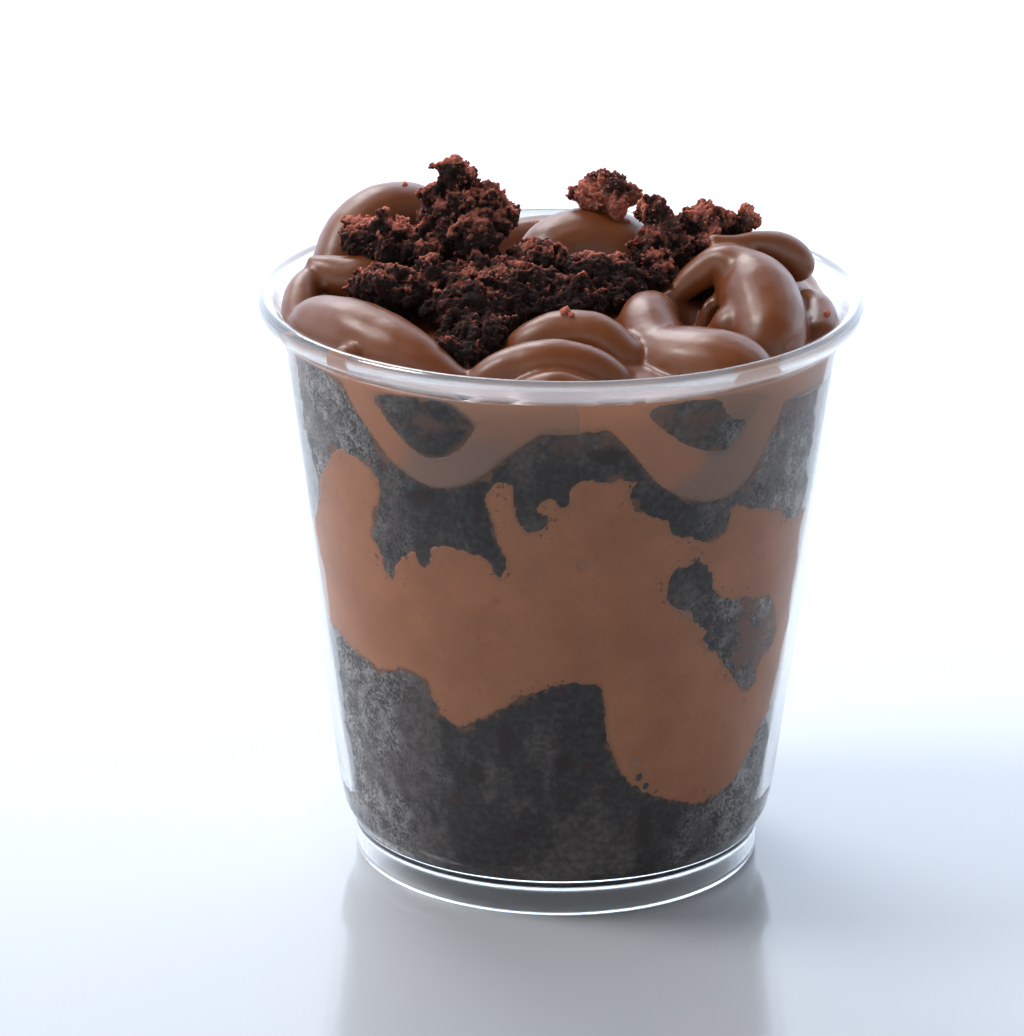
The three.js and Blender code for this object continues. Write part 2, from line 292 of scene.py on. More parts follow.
def cellBumps(points, size):
    # one dome for each cell, with creases between them
    return np.array([1 - noise.voronoi(p)[0][0] for p in (points / size).tolist()])


def polar(angle, radius, height):
    turn = np.radians(angle)
    return np.stack(np.broadcast_arrays(radius * np.sin(turn), -radius * np.cos(turn), height), -1)


def angleOf(points):
    return np.degrees(np.arctan2(points[:, 0], -points[:, 1]))


# Cup

cupSizes = {
    "outside": [(0, 3.8), (23.3, 3.8), (23.9, 3.2), (23.9, 0.3), (24.2, 0), (25.4, 0), (25.9, 0.5), (26, 4.6),
                (26.6, 5.5), (27.34, 6.8), (28.04, 10), (35.86, 70.6), (36.9, 71.5), (37.9, 72.3),
                (38.1, 73.2), (38, 74), (37.4, 74.5)],
    "inside": [(36.4, 74.2), (35.6, 73), (34.9, 71.6), (34.66, 70.6), (26.84, 10), (26.04, 7), (24.1, 5.2),
               (0, 5.2)],
    "round": 0.55, "roundSteps": 5,   # how far a corner is rounded
    "roundShare": 0.45,  # at most this share of an edge
    "sides": 300,
    "ringRadius": 20,    # the circle that the section is swept round
    "weld": 0.002,       # points closer than this become one
    "flutes": 90, "fluteDepth": 0.02, "fluteUneven": 3.0,   # fine upright flutes inside the foot
    "fluteHeights": (0.2, 3.4), "fluteRadii": (23, 24.1), "footRadius": 24.0,
    "lipFrom": (71.0, 72.2), "footTo": (4.2, 5.4),          # heights where the lip begins and the foot ends
}
insideRadii, insideHeights = np.array(cupSizes["inside"][:-1])[::-1].T
rimHeight = cupSizes["outside"][-1][1]


def wallRadius(height):
    return np.interp(height, insideHeights, insideRadii)


def roundedSection(corners):
    corners = [np.array(c, float) for c in corners]
    most = cupSizes["roundShare"]
    steps = np.linspace(0, 1, cupSizes["roundSteps"])
    line = [corners[0]]
    for before, here, after in zip(corners, corners[1:], corners[2:]):
        back = before - here
        ahead = after - here
        share = min(cupSizes["round"], most * np.linalg.norm(back), most * np.linalg.norm(ahead))
        start = here + back * share / np.linalg.norm(back)
        end = here + ahead * share / np.linalg.norm(ahead)
        line += [(1 - t) ** 2 * start + 2 * t * (1 - t) * here + t ** 2 * end for t in steps]
    return np.array(line + [corners[-1]])


def clearPlastic():
    material, shader, place = newMaterial("clear plastic", Base_Color=rgb(0.985, 0.99, 0.995), Roughness=0.02,
                                          IOR=1.49, Transmission_Weight=1.0)
    streaks = place.add("ShaderNodeMapping", None, {"Vector": place, "Scale": (1.0, 1.0, 0.06)})
    feed(shader, "Normal", bump(noiseAt(streaks, 1.6, 2.0), 0.25, 0.02))
    height = place.axis("Z")
    rim = height.ramp(*(z * mm for z in cupSizes["lipFrom"]))
    foot = 1 - height.ramp(*(z * mm for z in cupSizes["footTo"]))
    smudges = noiseAt(place, 6.0).ramp(0.35, 0.75) * 0.03
    feed(shader, "Roughness", smudges + 0.012 + rim * 0.14 + foot * 0.15)
    feed(shader, "Coat Weight", rim)
    through = place.add("ShaderNodeBsdfTransparent", None, {"Color": rgb(0.97, 0.975, 0.98)})
    lamp = place.add("ShaderNodeLightPath", output="Is Shadow Ray")
    solid = Wire(place.tree, shader.outputs["BSDF"])
    # light caught in the lip
    milky = place.add("ShaderNodeBsdfTranslucent", None, {"Color": rgb(0.93, 0.95, 0.98)})
    solid = place.add("ShaderNodeMixShader", None, {0: rim * 0.12, 1: solid, 2: milky})
    both = place.add("ShaderNodeMixShader", None, {0: lamp, 1: solid, 2: through})
    place.tree.links.new(both.socket, place.tree.nodes["Material Output"].inputs["Surface"])
    return material


def latheTree():
    tree, given = newTree("lathe", {"Sides": "Int", "Ring Radius": "Float", "Material": "Material"})
    section = given.add("GeometryNodeMeshToCurve", None, {"Mesh": given.out("Geometry")})
    ring = given.add("GeometryNodeCurvePrimitiveCircle", None,
                     {"Resolution": given.out("Sides"), "Radius": given.out("Ring Radius")})
    upright = ring.add("GeometryNodeSetCurveNormal", {"mode": "Z_UP"}, {"Curve": ring})
    swept = upright.add("GeometryNodeCurveToMesh", None, {"Curve": upright, "Profile Curve": section})
    closed = swept.add("GeometryNodeMergeByDistance", None,
                       {"Geometry": swept, "Distance": cupSizes["weld"] * mm})
    endTree(closed, given.out("Material"))
    return tree


def facesOutward(mesh):
    build = bmesh.new()
    build.from_mesh(mesh)
    bmesh.ops.remove_doubles(build, verts=build.verts, dist=cupSizes["weld"] * mm)
    bmesh.ops.recalc_face_normals(build, faces=build.faces)
    build.to_mesh(mesh)
    build.free()


def fluteFoot(mesh):
    points = getPoints(mesh)
    reach = np.hypot(points[:, 0], points[:, 1])
    low, high = cupSizes["fluteHeights"]
    inner, outer = cupSizes["fluteRadii"]
    inFoot = (points[:, 2] < high) & (points[:, 2] > low) & (reach < outer) & (reach > inner)
    around = polar(angleOf(points), cupSizes["footRadius"], np.zeros(len(points)))
    uneven = roundNoise(around, cupSizes["fluteUneven"])
    wave = cupSizes["fluteDepth"] * uneven * np.cos(np.radians(angleOf(points) * cupSizes["flutes"]))
    points[:, :2] *= (1 + np.where(inFoot, wave, 0) / np.maximum(reach, 1))[:, None]
    setPoints(mesh, points)


def makeCup():
    line = roundedSection(cupSizes["outside"] + cupSizes["inside"])
    points = np.column_stack([line[:, 0] - cupSizes["ringRadius"], -line[:, 1], np.zeros(len(line))])
    edges = [(k, k + 1) for k in range(len(points) - 1)]
    cup = addObject("clear_cup", meshFrom("clear_cup", points, [], edges))
    runTree(cup, latheTree(), {"Sides": cupSizes["sides"], "Ring Radius": cupSizes["ringRadius"] * mm,
                               "Material": clearPlastic()})
    facesOutward(cup.data)
    fluteFoot(cup.data)
    smoothFaces(cup.data)
    finishPiece(cup, "clear_plastic", "cup")


# Layers inside the wall

layerSizes = {
    "frontColumns": 450, "backColumns": 190, "frontReach": 98,
    "sideRows": 84, "mousseRows": 122,
    "meanRadius": 31.0,  # where millimetres along the wall are reckoned
    "edgeRound": 0.5,
    "capShares": [0.94, 0.82, 0.62, 0.36],   # rings of the hidden faces, as shares of the radius
    "capEase": (0.3, 0.9),
    "behind": 3.2,       # how far the cake goes on behind the mousse
    "floorOverlap": 0.05,
    "pressed": (64, 74), "pressedRagged": 3, "pressedPatch": 7.0,   # degrees from the front or the back
    # from these angles the pressed cake is painted with pale specks of painted glare
    "opening": (26, 58), "openRagged": 9, "openPatch": 5.0,         # degrees where the cake's crumb opens
    "gap": 0.14,         # air at the sides, where nothing is pressed on the wall
    "settled": (9, 14),  # below these heights the cake touches the wall all round
    "cakeInWall": 0.03, "mousseInWall": 0.1, "chunkInWall": 0.06,
    "touching": (-0.03, 0.02), "sunken": (0.15, 0.7),     # millimetres past the wall and short of it
    "moistRagged": 0.5, "moistPatch": 1.4, "moistEdge": (0.5, 1.1),
    "pitDepth": 0.5, "pitSize": 0.9, "pitShare": 0.1,     # open crumb where the cake is free
    "backSteps": 44, "backTurn": 1.2,        # points of an edge at the back, and how they stray along it
    "wobbleSize": 3.0, "fineSize": 1.0, "seedApart": 170.0,
    "nearBy": 7,         # degrees within which an edge is looked for
    "farAway": 9.0,      # depth of what lies well away from an edge
    "envelope": 14,      # columns on each side
    "margin": 2.6,       # how far the mousse goes on past its edge
    "tuck": 1.3, "tuckFrom": 0.25,           # how far it draws in there
    "speckSteps": 25, "speckRagged": 0.3, "speckSeed": 5,
}
# the top of each layer: its middle, how it runs at the back, its raggedness,
# and angles and heights at the front
baseCakeTop = {"middle": 28, "back": 28, "swing": 4, "waves": 2.5, "ragged": 1.3,
               "spacing": 0.2, "wobble": 0.35, "fine": 0.3, "seed": 1, "front": [
    (-85, 33.5), (-68, 34), (-58, 32.5), (-46, 31.2), (-38, 32.6), (-32.5, 31.2), (-29, 27.2), (-25, 26.2),
    (-19, 27.4), (-11, 30.1), (-2, 32.7), (9, 33), (11, 30), (12.4, 25), (16, 20.5), (20, 18.4), (26, 16.5),
    (33, 15), (40, 14.1), (48, 14.6), (54, 16.4), (61, 20.9), (68, 23.5), (78, 23.8)]}
mousseTop = {"middle": 52, "back": 53, "swing": 4, "waves": 3, "ragged": 1.7,
             "spacing": 0.2, "wobble": 0.3, "fine": 0.35, "seed": 2, "front": [
    (-85, 44), (-68, 49), (-61.8, 55.3), (-55.8, 58.9), (-52.3, 60.3), (-48.8, 60.3), (-45.4, 59.6),
    (-42.5, 58.7), (-41.1, 57.2), (-40.9, 55.6), (-42.1, 54.2), (-44.2, 53.1), (-43.7, 51.2),
    (-44.7, 49.7), (-42.7, 48.7), (-42.1, 47.2), (-41.3, 45.6), (-39.8, 45.2), (-38.6, 46.6),
    (-37.3, 47.6), (-33.6, 49.4), (-32.2, 48.2), (-30.6, 47.2), (-29.2, 48.6), (-28.6, 50),
    (-24.8, 50.9), (-21, 50.9), (-18, 50.3), (-15.1, 49.5), (-12.9, 47.5), (-11.1, 49.1),
    (-11.9, 50.7), (-13.6, 53.2), (-14.8, 55.7), (-15.3, 57.6), (-14.6, 59.3), (-11.9, 60.4),
    (-9.6, 59.5), (-8.9, 57.6), (-8.1, 54.9), (-5.9, 53.8), (-3.1, 54.4), (-2.3, 55.6), (-4.4, 56.6),
    (-3.6, 58.1), (-0.8, 58.4), (0.8, 57.2), (2.1, 58.2), (1.6, 59.5), (4.3, 60.7), (6.2, 60.9),
    (10.1, 60.8), (13.3, 61), (16.1, 60.3), (15.2, 58.6), (16.9, 56.5), (20.2, 55.3), (23.8, 54.5),
    (25, 52.9), (28.8, 52), (33.3, 51.1), (38.1, 51.3), (38.7, 52.7), (38.7, 54.8), (41.5, 55.1),
    (45.8, 54.1), (52.4, 52.9), (56.5, 51.7), (64.1, 49.9), (69, 50.7), (80, 50)]}
upperCakeTop = {"middle": 69, "back": 69, "swing": 1.2, "waves": 2, "ragged": 0.4,
                "spacing": 0.4, "wobble": 0.2, "fine": 0.15, "seed": 3, "front": [
    (-80, 70), (-62, 70.8), (-52, 70.4), (-44, 69.6), (-30, 70.6), (-22, 70), (-15, 67.4), (0, 67.6),
    (9, 68), (16, 70), (28, 71), (42, 69.5), (54, 67.5), (70, 67.5), (80, 68)]}
mousseSpecks = [   # angle, height and half size of crumbs that show in the mousse
    (5, 49.5, 0.45), (21, 19.6, 0.4), (20.4, 21.8, 0.5), (23, 18.2, 0.35)]
cakeHollows = [    # angle, height, half width and half height of dark moist spots in the cake
    (-17.2, 56.6, 0.55, 3.0), (-12.5, 25.5, 1.2, 3.6), (23.5, 13, 1.5, 3.6), (-10, 12, 1.6, 1),
    (-30, 57, 2.6, 1.6), (10, 64, 2.4, 1.2), (-20, 20, 1.4, 1.8), (2, 22, 1.8, 1.2)]
frontReach = layerSizes["frontReach"]
columnAngles = np.concatenate([   # closer together at the front
    np.linspace(-frontReach, frontReach, layerSizes["frontColumns"], endpoint=False),
    np.linspace(frontReach, 360 - frontReach, layerSizes["backColumns"], endpoint=False)])
meanRadius = layerSizes["meanRadius"]
arcPerDegree = math.radians(1) * meanRadius


def sideways(angle):
    # degrees from the front or the back, whichever is closer
    return np.abs((angle + 90) % 180 - 90)


def contact(angle, height):
    # 1 where the filling is pressed on the wall, at the front, the back and the foot, and 0 at the sides
    side = sideways(angle)
    places = polar(angle, meanRadius, height).reshape(-1, 3)
    ragged = layerSizes["pressedRagged"] * roundNoise(places, layerSizes["pressedPatch"]).reshape(side.shape)
    return 1 - smoothStep(side + ragged, *layerSizes["pressed"]) * smoothStep(height, *layerSizes["settled"])


def wallReach(angle, height, depth):
    angle, height = np.broadcast_arrays(angle, height)
    touch = contact(angle, height)
    return wallRadius(height) - layerSizes["gap"] * (1 - touch) + depth * touch


def edgeLoop(edge):
    # the front follows its points, the back runs from the last one round to the first by a wave,
    # and noise shifts the whole line along the wall and up and down
    (startAngle, startHeight), (endAngle, endHeight) = edge["front"][0], edge["front"][-1]
    steps = layerSizes["backSteps"]
    share = np.arange(1, steps + 1) / steps
    away = np.sin(np.pi * share)
    level = endHeight + (startHeight - endHeight) * share
    wave = edge["swing"] * away * np.sin(2 * np.pi * edge["waves"] * share)
    draw = np.random.default_rng(edge["seed"])
    heights = level + (edge["back"] - level) * away + wave
    heights += edge["ragged"] * away * draw.normal(0, 1, steps)
    turns = endAngle + (startAngle + 360 - endAngle) * share
    turns += edge["ragged"] * away * draw.normal(0, layerSizes["backTurn"], steps)
    back = np.column_stack([turns, heights])
    flat = np.vstack([edge["front"], back]) * [arcPerDegree, 1]
    length = np.linalg.norm(np.diff(flat, axis=0), axis=1).sum()
    line = smoothLine(flat, int(length / edge["spacing"])) / [arcPerDegree, 1]
    return shiftLine(line, edge["wobble"], edge["fine"], edge["seed"])


def shiftLine(line, wobble, fine, seed):
    around = polar(line[:, 0], meanRadius, line[:, 1] + seed * layerSizes["seedApart"])
    broad = layerSizes["wobbleSize"]
    small = layerSizes["fineSize"]
    along = wobble * roundNoise(around, broad) + fine * roundNoise(around + 60, small)
    up = wobble * roundNoise(around + 120, broad) + fine * roundNoise(around + 190, small)
    return line + np.column_stack([along / arcPerDegree, up])


def speckLine(middle, height, size):
    turn = np.linspace(0, 2 * np.pi, layerSizes["speckSteps"])
    line = np.column_stack([middle + size * np.cos(turn) / arcPerDegree, height + size * np.sin(turn)])
    ragged = layerSizes["speckRagged"] * size
    return shiftLine(line, ragged, ragged, layerSizes["speckSeed"])


def crossings(lines):
    # heights at which each column meets the lines, in order
    starts = np.vstack([line[:-1] for line in lines])
    ends = np.vstack([line[1:] for line in lines])
    found = []
    for angle in columnAngles:
        meets = []
        for turn in (-360, 0, 360):
            a = starts[:, 0] + turn
            b = ends[:, 0] + turn
            hit = (a <= angle) != (b <= angle)
            share = (angle - a[hit]) / (b[hit] - a[hit])
            meets.append(starts[hit, 1] + (ends[hit, 1] - starts[hit, 1]) * share)
        found.append(np.sort(np.concatenate(meets)))
    return found


def depthInside(lines, heights):
    # millimetres inside the closed outline for each row and column, negative outside
    found = crossings(lines)
    marks = np.vstack(lines)
    marks = np.vstack([marks - [360, 0], marks, marks + [360, 0]])
    depth = np.empty_like(heights)
    for k, angle in enumerate(columnAngles):
        near = marks[np.abs(marks[:, 0] - angle) < layerSizes["nearBy"]]
        aside = (near[:, 0] - angle) * arcPerDegree
        apart = np.hypot(heights[:, k, None] - near[None, :, 1], aside[None, :]).min(axis=1)
        inside = np.searchsorted(found[k], heights[:, k]) % 2 == 1
        depth[:, k] = np.where(inside, apart, -apart)
    return depth


def shellMesh(name, rings, depths=None):
    # rings of (radius, height) arrays from the middle underneath to the middle on top
    columns = len(columnAngles)
    points = [np.array([[0, 0, rings[0][1].mean()]])]
    points += [polar(columnAngles, radius, height) for radius, height in rings]
    points.append(np.array([[0, 0, rings[-1][1].mean()]]))
    first = np.arange(columns)
    after = (first + 1) % columns
    faces = [(0, 1 + b, 1 + a) for a, b in zip(first, after)]
    for k in range(len(rings) - 1):
        low = 1 + k * columns
        high = low + columns
        faces += np.column_stack([low + first, low + after, high + after, high + first]).tolist()
    last = 1 + (len(rings) - 1) * columns
    top = last + columns
    faces += [(last + a, last + b, top) for a, b in zip(first, after)]
    mesh = meshFrom(name, np.vstack(points), faces)
    if depths is not None:
        setValue(mesh, "depth", np.r_[depths[0, 0], depths.ravel(), depths[-1, 0]])
    return mesh


def capRings(edge, radius, middle):
    rings = []
    for share in layerSizes["capShares"]:
        blend = smoothStep(share, *layerSizes["capEase"])
        rings.append((radius * share, middle + (edge - middle) * blend))
    return rings


def cakePits(points):
    # open crumb: hollows at the sides, where the cake is not pressed on the wall
    free = 1 - contact(angleOf(points), points[:, 2])
    deepest = layerSizes["pitDepth"]
    pits = deepest * roundNoise(points + 40, layerSizes["pitSize"], 2) + layerSizes["pitShare"]
    return np.clip(pits, 0, deepest) * free


def closeRings(heights, radii, depth, lowMiddle, highMiddle, hidden):
    under = capRings(heights[0], radii[0], lowMiddle)[::-1]
    over = capRings(heights[-1], radii[-1], highMiddle)
    rings = under + list(zip(radii, heights)) + over
    covered = np.full((len(under), len(columnAngles)), hidden)
    return rings, np.vstack([covered, depth, covered])


def cakeRings(low, high, lowMiddle, highMiddle, lines):
    soft = layerSizes["edgeRound"]
    share = np.linspace(0, 1, layerSizes["sideRows"])[:, None]
    heights = low + (high - low) * share
    radii = wallReach(columnAngles, heights, layerSizes["cakeInWall"])
    radii = radii - soft * smoothStep(heights, high - soft, high)
    pits = cakePits(polar(columnAngles, radii, heights).reshape(-1, 3)).reshape(radii.shape)
    depth = depthInside(lines, heights)
    return closeRings(heights, radii - pits, depth, lowMiddle, highMiddle, -layerSizes["farAway"])


def envelope(values, pick):
    # the lowest or highest of the columns close by, evened out
    both = 2 * layerSizes["envelope"]
    padded = np.r_[values[-both:], values, values[:both]]
    widest = np.array([pick(padded[k:k + both + 1]) for k in range(len(padded) - both)])
    return np.convolve(widest, np.ones(both + 1) / (both + 1), "valid")


def mousseRings(low, high, lines):
    low = envelope(low, np.min)
    high = envelope(high, np.max)
    rows = np.linspace(0, 1, layerSizes["mousseRows"])[:, None]
    margin = layerSizes["margin"]
    heights = low - margin + (high - low + 2 * margin) * rows
    depth = depthInside(lines, heights)
    drop = layerSizes["tuck"] * smoothStep(layerSizes["tuckFrom"] - depth, 0, layerSizes["tuck"])
    radii = wallReach(columnAngles, heights, layerSizes["mousseInWall"]) - drop
    hidden = layerSizes["farAway"]
    return closeRings(heights, radii, depth, baseCakeTop["middle"], mousseTop["middle"], hidden)


def markWall(mesh, ropes, cakeTop):
    # where the surface lies in the wall or near the frosting, how far it is sunk from the wall for painted
    # shade, where the cake shows pale painted glare, and where the cake is dark and moist
    points = getPoints(mesh)
    angles = angleOf(points)
    setValue(mesh, "frostingGap", frostingGap(points, ropes, cakeTop))
    inWall = np.hypot(points[:, 0], points[:, 1]) - wallRadius(points[:, 2])
    setValue(mesh, "pressed", smoothStep(inWall, *layerSizes["touching"]))
    setValue(mesh, "sunken", smoothStep(-inWall, *layerSizes["sunken"]))
    side = sideways(angles) + layerSizes["openRagged"] * roundNoise(points, layerSizes["openPatch"])
    setValue(mesh, "loose", smoothStep(side, *layerSizes["opening"]))
    moist = np.zeros(len(points))
    ragged = layerSizes["moistRagged"] * roundNoise(points, layerSizes["moistPatch"], 2)
    for angle, height, wide, tall in cakeHollows:
        aside = (angles - angle) * arcPerDegree / wide
        apart = np.hypot(aside, (points[:, 2] - height) / tall) + ragged
        moist = np.maximum(moist, 1 - smoothStep(apart, *layerSizes["moistEdge"]))
    setValue(mesh, "moist", moist)


def darkCake():
    material, shader, place = newMaterial("dark cake", Specular_IOR_Level=0.15)
    pressed = pointValue(place, "pressed")
    sunken = pointValue(place, "sunken")
    moist = pointValue(place, "moist")
    grain = noiseAt(place, 0.9, 5.0, 0.68).ramp(0.36, 0.66)
    packed = grain.mix(rgb(0.015, 0.013, 0.0125), rgb(0.045, 0.040, 0.039))
    # Pale specks at the sides are painted glare, a painted reflection where the crumb lies off the wall or
    # opens on it, and are painted darker at the back as painted shade
    specks = noiseAt(place, 0.4, 3.0, 0.6) * 0.55 + noiseAt(place, 2.2, 3.0, 0.6) * 0.45
    glareSpecks = specks.ramp(0.4, 0.64)
    paintedGlare = backHalf(place).mix(rgb(0.42, 0.40, 0.395), rgb(0.17, 0.155, 0.15))
    opened = glareSpecks.mix(rgb(0.035, 0.031, 0.03), paintedGlare)
    dryingAndGapGlare = glareSpecks.mix(rgb(0.018, 0.015, 0.014), rgb(0.16, 0.14, 0.132))
    loose = pointValue(place, "loose")
    crumb = pressed.mix(dryingAndGapGlare, loose.mix(packed, opened))
    tall = place.add("ShaderNodeMapping", None, {"Vector": place, "Scale": (1.0, 1.0, 0.6)})
    haze = noiseAt(tall, 7.0, 5.0, 0.62).ramp(0.45, 0.62)
    smeared = (haze * 0.7).mix(crumb, grain.mix(rgb(0.06, 0.051, 0.048), rgb(0.145, 0.121, 0.113)))
    red = noiseAt(place, 2.4, 2.0).ramp(0.62, 0.72)
    ruddy = (red * 0.6).mix(smeared, rgb(0.045, 0.012, 0.009))
    blur = noiseAt(place, 1.4, 3.0, 0.6)
    wide = noiseAt(place, 4.5, 3.0, 0.6).ramp(0.5, 0.68)
    byMousse = (pointValue(place, "depth") + blur * 0.9 + wide * 1.3).ramp(0.15, 1.3)
    byFrosting = 1 - (pointValue(place, "frostingGap") - blur * 0.9 - wide * 1.4).ramp(-1.0, 0.0)
    cream = byMousse.sum("MAXIMUM", byMousse, byFrosting)
    ruddy = (cream * 0.75).mix(ruddy, rgb(0.2, 0.092, 0.052))
    high = place.axis("Z").ramp(62.5 * mm, 67 * mm)
    wiped = high * noiseAt(place, 5.0, 4.0, 0.6).ramp(0.44, 0.62) * (1 - backHalf(place))
    ruddy = (wiped * 0.6).mix(ruddy, rgb(0.15, 0.082, 0.056))
    # painted shade: cake sunk back from the wall is painted near black
    deep = (sunken * 0.8).mix(ruddy, rgb(0.006, 0.004, 0.0035))
    feed(shader, "Base Color", (moist * 0.95).mix(deep, rgb(0.018, 0.005, 0.0035)))
    feed(shader, "Roughness", 0.9 - 0.2 * haze)
    feed(shader, "Normal", bump(noiseAt(place, 0.8, 3.0), 0.5, 0.12))
    return material


def mousseFoam():
    material, shader, place = newMaterial("chocolate mousse", Specular_IOR_Level=0.3, Subsurface_Weight=0.1,
                                          Subsurface_Radius=(1.0, 0.5, 0.35), Subsurface_Scale=1.0 * mm)
    pressed = pointValue(place, "pressed")
    cloud = noiseAt(place, 9.0, 4.0, 0.6).ramp(0.3, 0.7)
    # The mousse pressed on the wall is painted lighter than the free mousse, painted light that makes up for
    # the darkening behind the plastic, and both are painted darker at the back as painted shade against the
    # light from behind
    free = cloud.mix(rgb(0.27, 0.088, 0.026), rgb(0.30, 0.102, 0.032))
    free = backHalf(place).mix(free, rgb(0.207, 0.077, 0.037))
    onWall = cloud.mix(rgb(0.355, 0.134, 0.052), rgb(0.44, 0.177, 0.076))
    onWall = backHalf(place).mix(onWall, rgb(0.265, 0.11, 0.054))
    brown = pressed.mix(free, onWall)
    fleck = noiseAt(place, 1.3, 2.0).ramp(0.62, 0.75)
    brown = (fleck * 0.22).mix(brown, rgb(0.16, 0.055, 0.025))
    spot = noiseAt(place, 3.5, 3.0).ramp(0.62, 0.72)
    brown = (spot * 0.35).mix(brown, rgb(0.36, 0.105, 0.03))
    thick = (pointValue(place, "depth") - noiseAt(place, 1.4, 3.0, 0.6) * 1.2).ramp(-0.5, 0.3)
    brown = thick.mix(rgb(0.34, 0.135, 0.06), brown)
    atEdge = 1 - pointValue(place, "depth").ramp(0.2, 2.6)
    crumbs = noiseAt(place, 0.8, 2.0).ramp(0.6, 0.66) * noiseAt(place, 5.0, 2.0).ramp(0.45, 0.6)
    feed(shader, "Base Color", (crumbs * atEdge * 0.85).mix(brown, rgb(0.045, 0.024, 0.018)))
    feed(shader, "Roughness", noiseAt(place, 1.5).ramp(0.3, 0.7) * 0.15 + 0.5)
    feed(shader, "Normal", bump(noiseAt(place, 1.6, 3.0), 0.2, 0.05))
    return material


def addLayer(name, rings, ropes, cakeTop, material, slot, node):
    piece = addObject(name, shellMesh(name, *rings))
    markWall(piece.data, ropes, cakeTop)
    dress(piece.data, material)
    smoothFaces(piece.data)
    finishPiece(piece, slot, node)


def makeLayers(cake, ropes):
    lowLine = edgeLoop(baseCakeTop)
    highLine = edgeLoop(mousseTop)
    low = np.array([meets[0] for meets in crossings([lowLine])])
    mousseMeets = crossings([highLine])
    high = np.array([meets[-1] for meets in mousseMeets])
    seam = np.array([meets[0] for meets in mousseMeets])
    top = np.array([meets[-1] for meets in crossings([edgeLoop(upperCakeTop)])])
    lines = [lowLine, highLine, chunkLine()]
    lines += [speckLine(*speck) for speck in mousseSpecks]
    floor = np.full(len(columnAngles), insideHeights[0] - layerSizes["floorOverlap"])
    behind = layerSizes["behind"]
    base = cakeRings(floor, low + behind, floor[0], baseCakeTop["middle"], lines)
    upper = cakeRings(seam - behind, top, mousseTop["middle"], upperCakeTop["middle"], lines)
    addLayer("cake_base_crumb", base, ropes, top, cake, "dark_cake", "cake_base")
    filling = mousseRings(low, high, lines)
    addLayer("mousse_filling", filling, ropes, top, mousseFoam(), "mousse", "mousse_layer")
    addLayer("cake_upper_crumb", upper, ropes, top, cake, "dark_cake", "cake_upper")
    return top


# Crumbled cake

crumbleSizes = {
    "coreShare": 0.9,    # the lumps before knobs and grains are added
    "lumpLevels": 4, "coreVoxel": 0.5, "voxel": 0.25,
    "warp": 1.6, "coarseWarp": 0.6, "fineWarp": 0.35,
    "coarse": 1.7, "coarseDepth": 0.48,
    "fine": 0.6, "fineDepth": 0.32,
    "cellMiddle": 0.55,  # the level of the cells that moves nothing
    "jags": 0.9, "jagDepth": 0.45,
    "pits": 1.7, "pitDepth": 1.0, "pitEdge": (0.12, 0.5),
    "upward": (0.1, 1.1),
    "moistTo": 75.5, "dryFrom": 84, "drying": 0.62,   # crumbs are paler the higher they lie
    # how the tone follows the relief: painted light on upward faces, raised cells and ridges, painted shade
    # in pits
    "tones": {"upward": 0.6, "cells": 0.5, "jags": 0.35, "pits": 0.6, "darker": 0.08},
}
crumblePiles = {   # middles and half sizes of the lumps, and how much paler the crumbs are
    "crumble_heap": {"paler": 0.0, "lumps": [
        ((-9, -6, 75.4), (12, 9.5, 4.4)), ((-12.4, 3, 82.2), (5.6, 4.6, 5.8)),
        ((-13.6, 3, 88.4), (2.1, 2, 3)), ((-9.4, 3, 85.3), (2.5, 2.6, 2.5)),
        ((-7.4, 3, 83.2), (2.2, 2.6, 2.4)), ((-15.8, 3, 84), (2.1, 2.6, 2.6)),
        ((-10.6, -1.4, 80.6), (3.2, 1.9, 4.2)), ((-23.4, 2, 80.2), (4.7, 3.6, 3)),
        ((-22.4, 1.6, 83.6), (0.9, 0.9, 0.9)), ((-17.6, 0, 79), (3.6, 4, 3.2)),
        ((-21.4, -10, 77.6), (5.4, 3.4, 3.2)), ((-15.8, -7, 79), (2.8, 2.4, 2.4)),
        ((-12, -12, 75.8), (5.4, 5, 3.2)), ((-6, -8, 77.4), (5, 3.4, 3.4)),
        ((-2.6, -1.4, 78.4), (4.4, 4, 3.4)), ((3.6, -3, 77.4), (4.6, 3.6, 3.2)),
        ((8.2, -5, 75.8), (2.8, 3.6, 2.6)), ((1.4, -9, 75.4), (5, 4, 2.8)),
        ((-10.4, -16.8, 74), (4.4, 5, 2.8)), ((-12.2, -20.6, 72.2), (4.2, 4.2, 2.6))]},
    "crumble_right": {"paler": 0.25, "lumps": [
        ((13.4, 2.6, 79), (4.2, 4, 4.6)), ((12.4, -1.6, 76), (3.6, 3, 3)),
        ((11.6, 4, 83.6), (2.3, 2.3, 2.3)), ((17.8, 4.6, 81.4), (4, 3.6, 3)),
        ((21.8, 4.4, 81.4), (2.2, 2.4, 2.2)), ((17, 1, 75.6), (3.4, 2.8, 2.8))]},
    "crumble_back": {"paler": 0.8, "lumps": [
        ((5.3, 11, 84.2), (3.6, 3.2, 3)), ((8.3, 11, 84), (1.8, 1.8, 1.6)),
        ((2.8, 11, 83.4), (1.8, 1.8, 1.4))]},
}


def lumpCore(name, lumps, voxel, shrink=1.0):
    build = bmesh.new()
    for middle, size in lumps:
        place = Matrix.Translation(Vector(middle)) @ Matrix.Diagonal((*(s * shrink for s in size), 1))
        levels = crumbleSizes["lumpLevels"]
        bmesh.ops.create_icosphere(build, subdivisions=levels, radius=1.0, matrix=place)
    bmesh.ops.scale(build, vec=(mm, mm, mm), verts=build.verts)
    piece = addObject(name, meshOf(name, build))
    voxelRemesh(piece, voxel)
    return piece


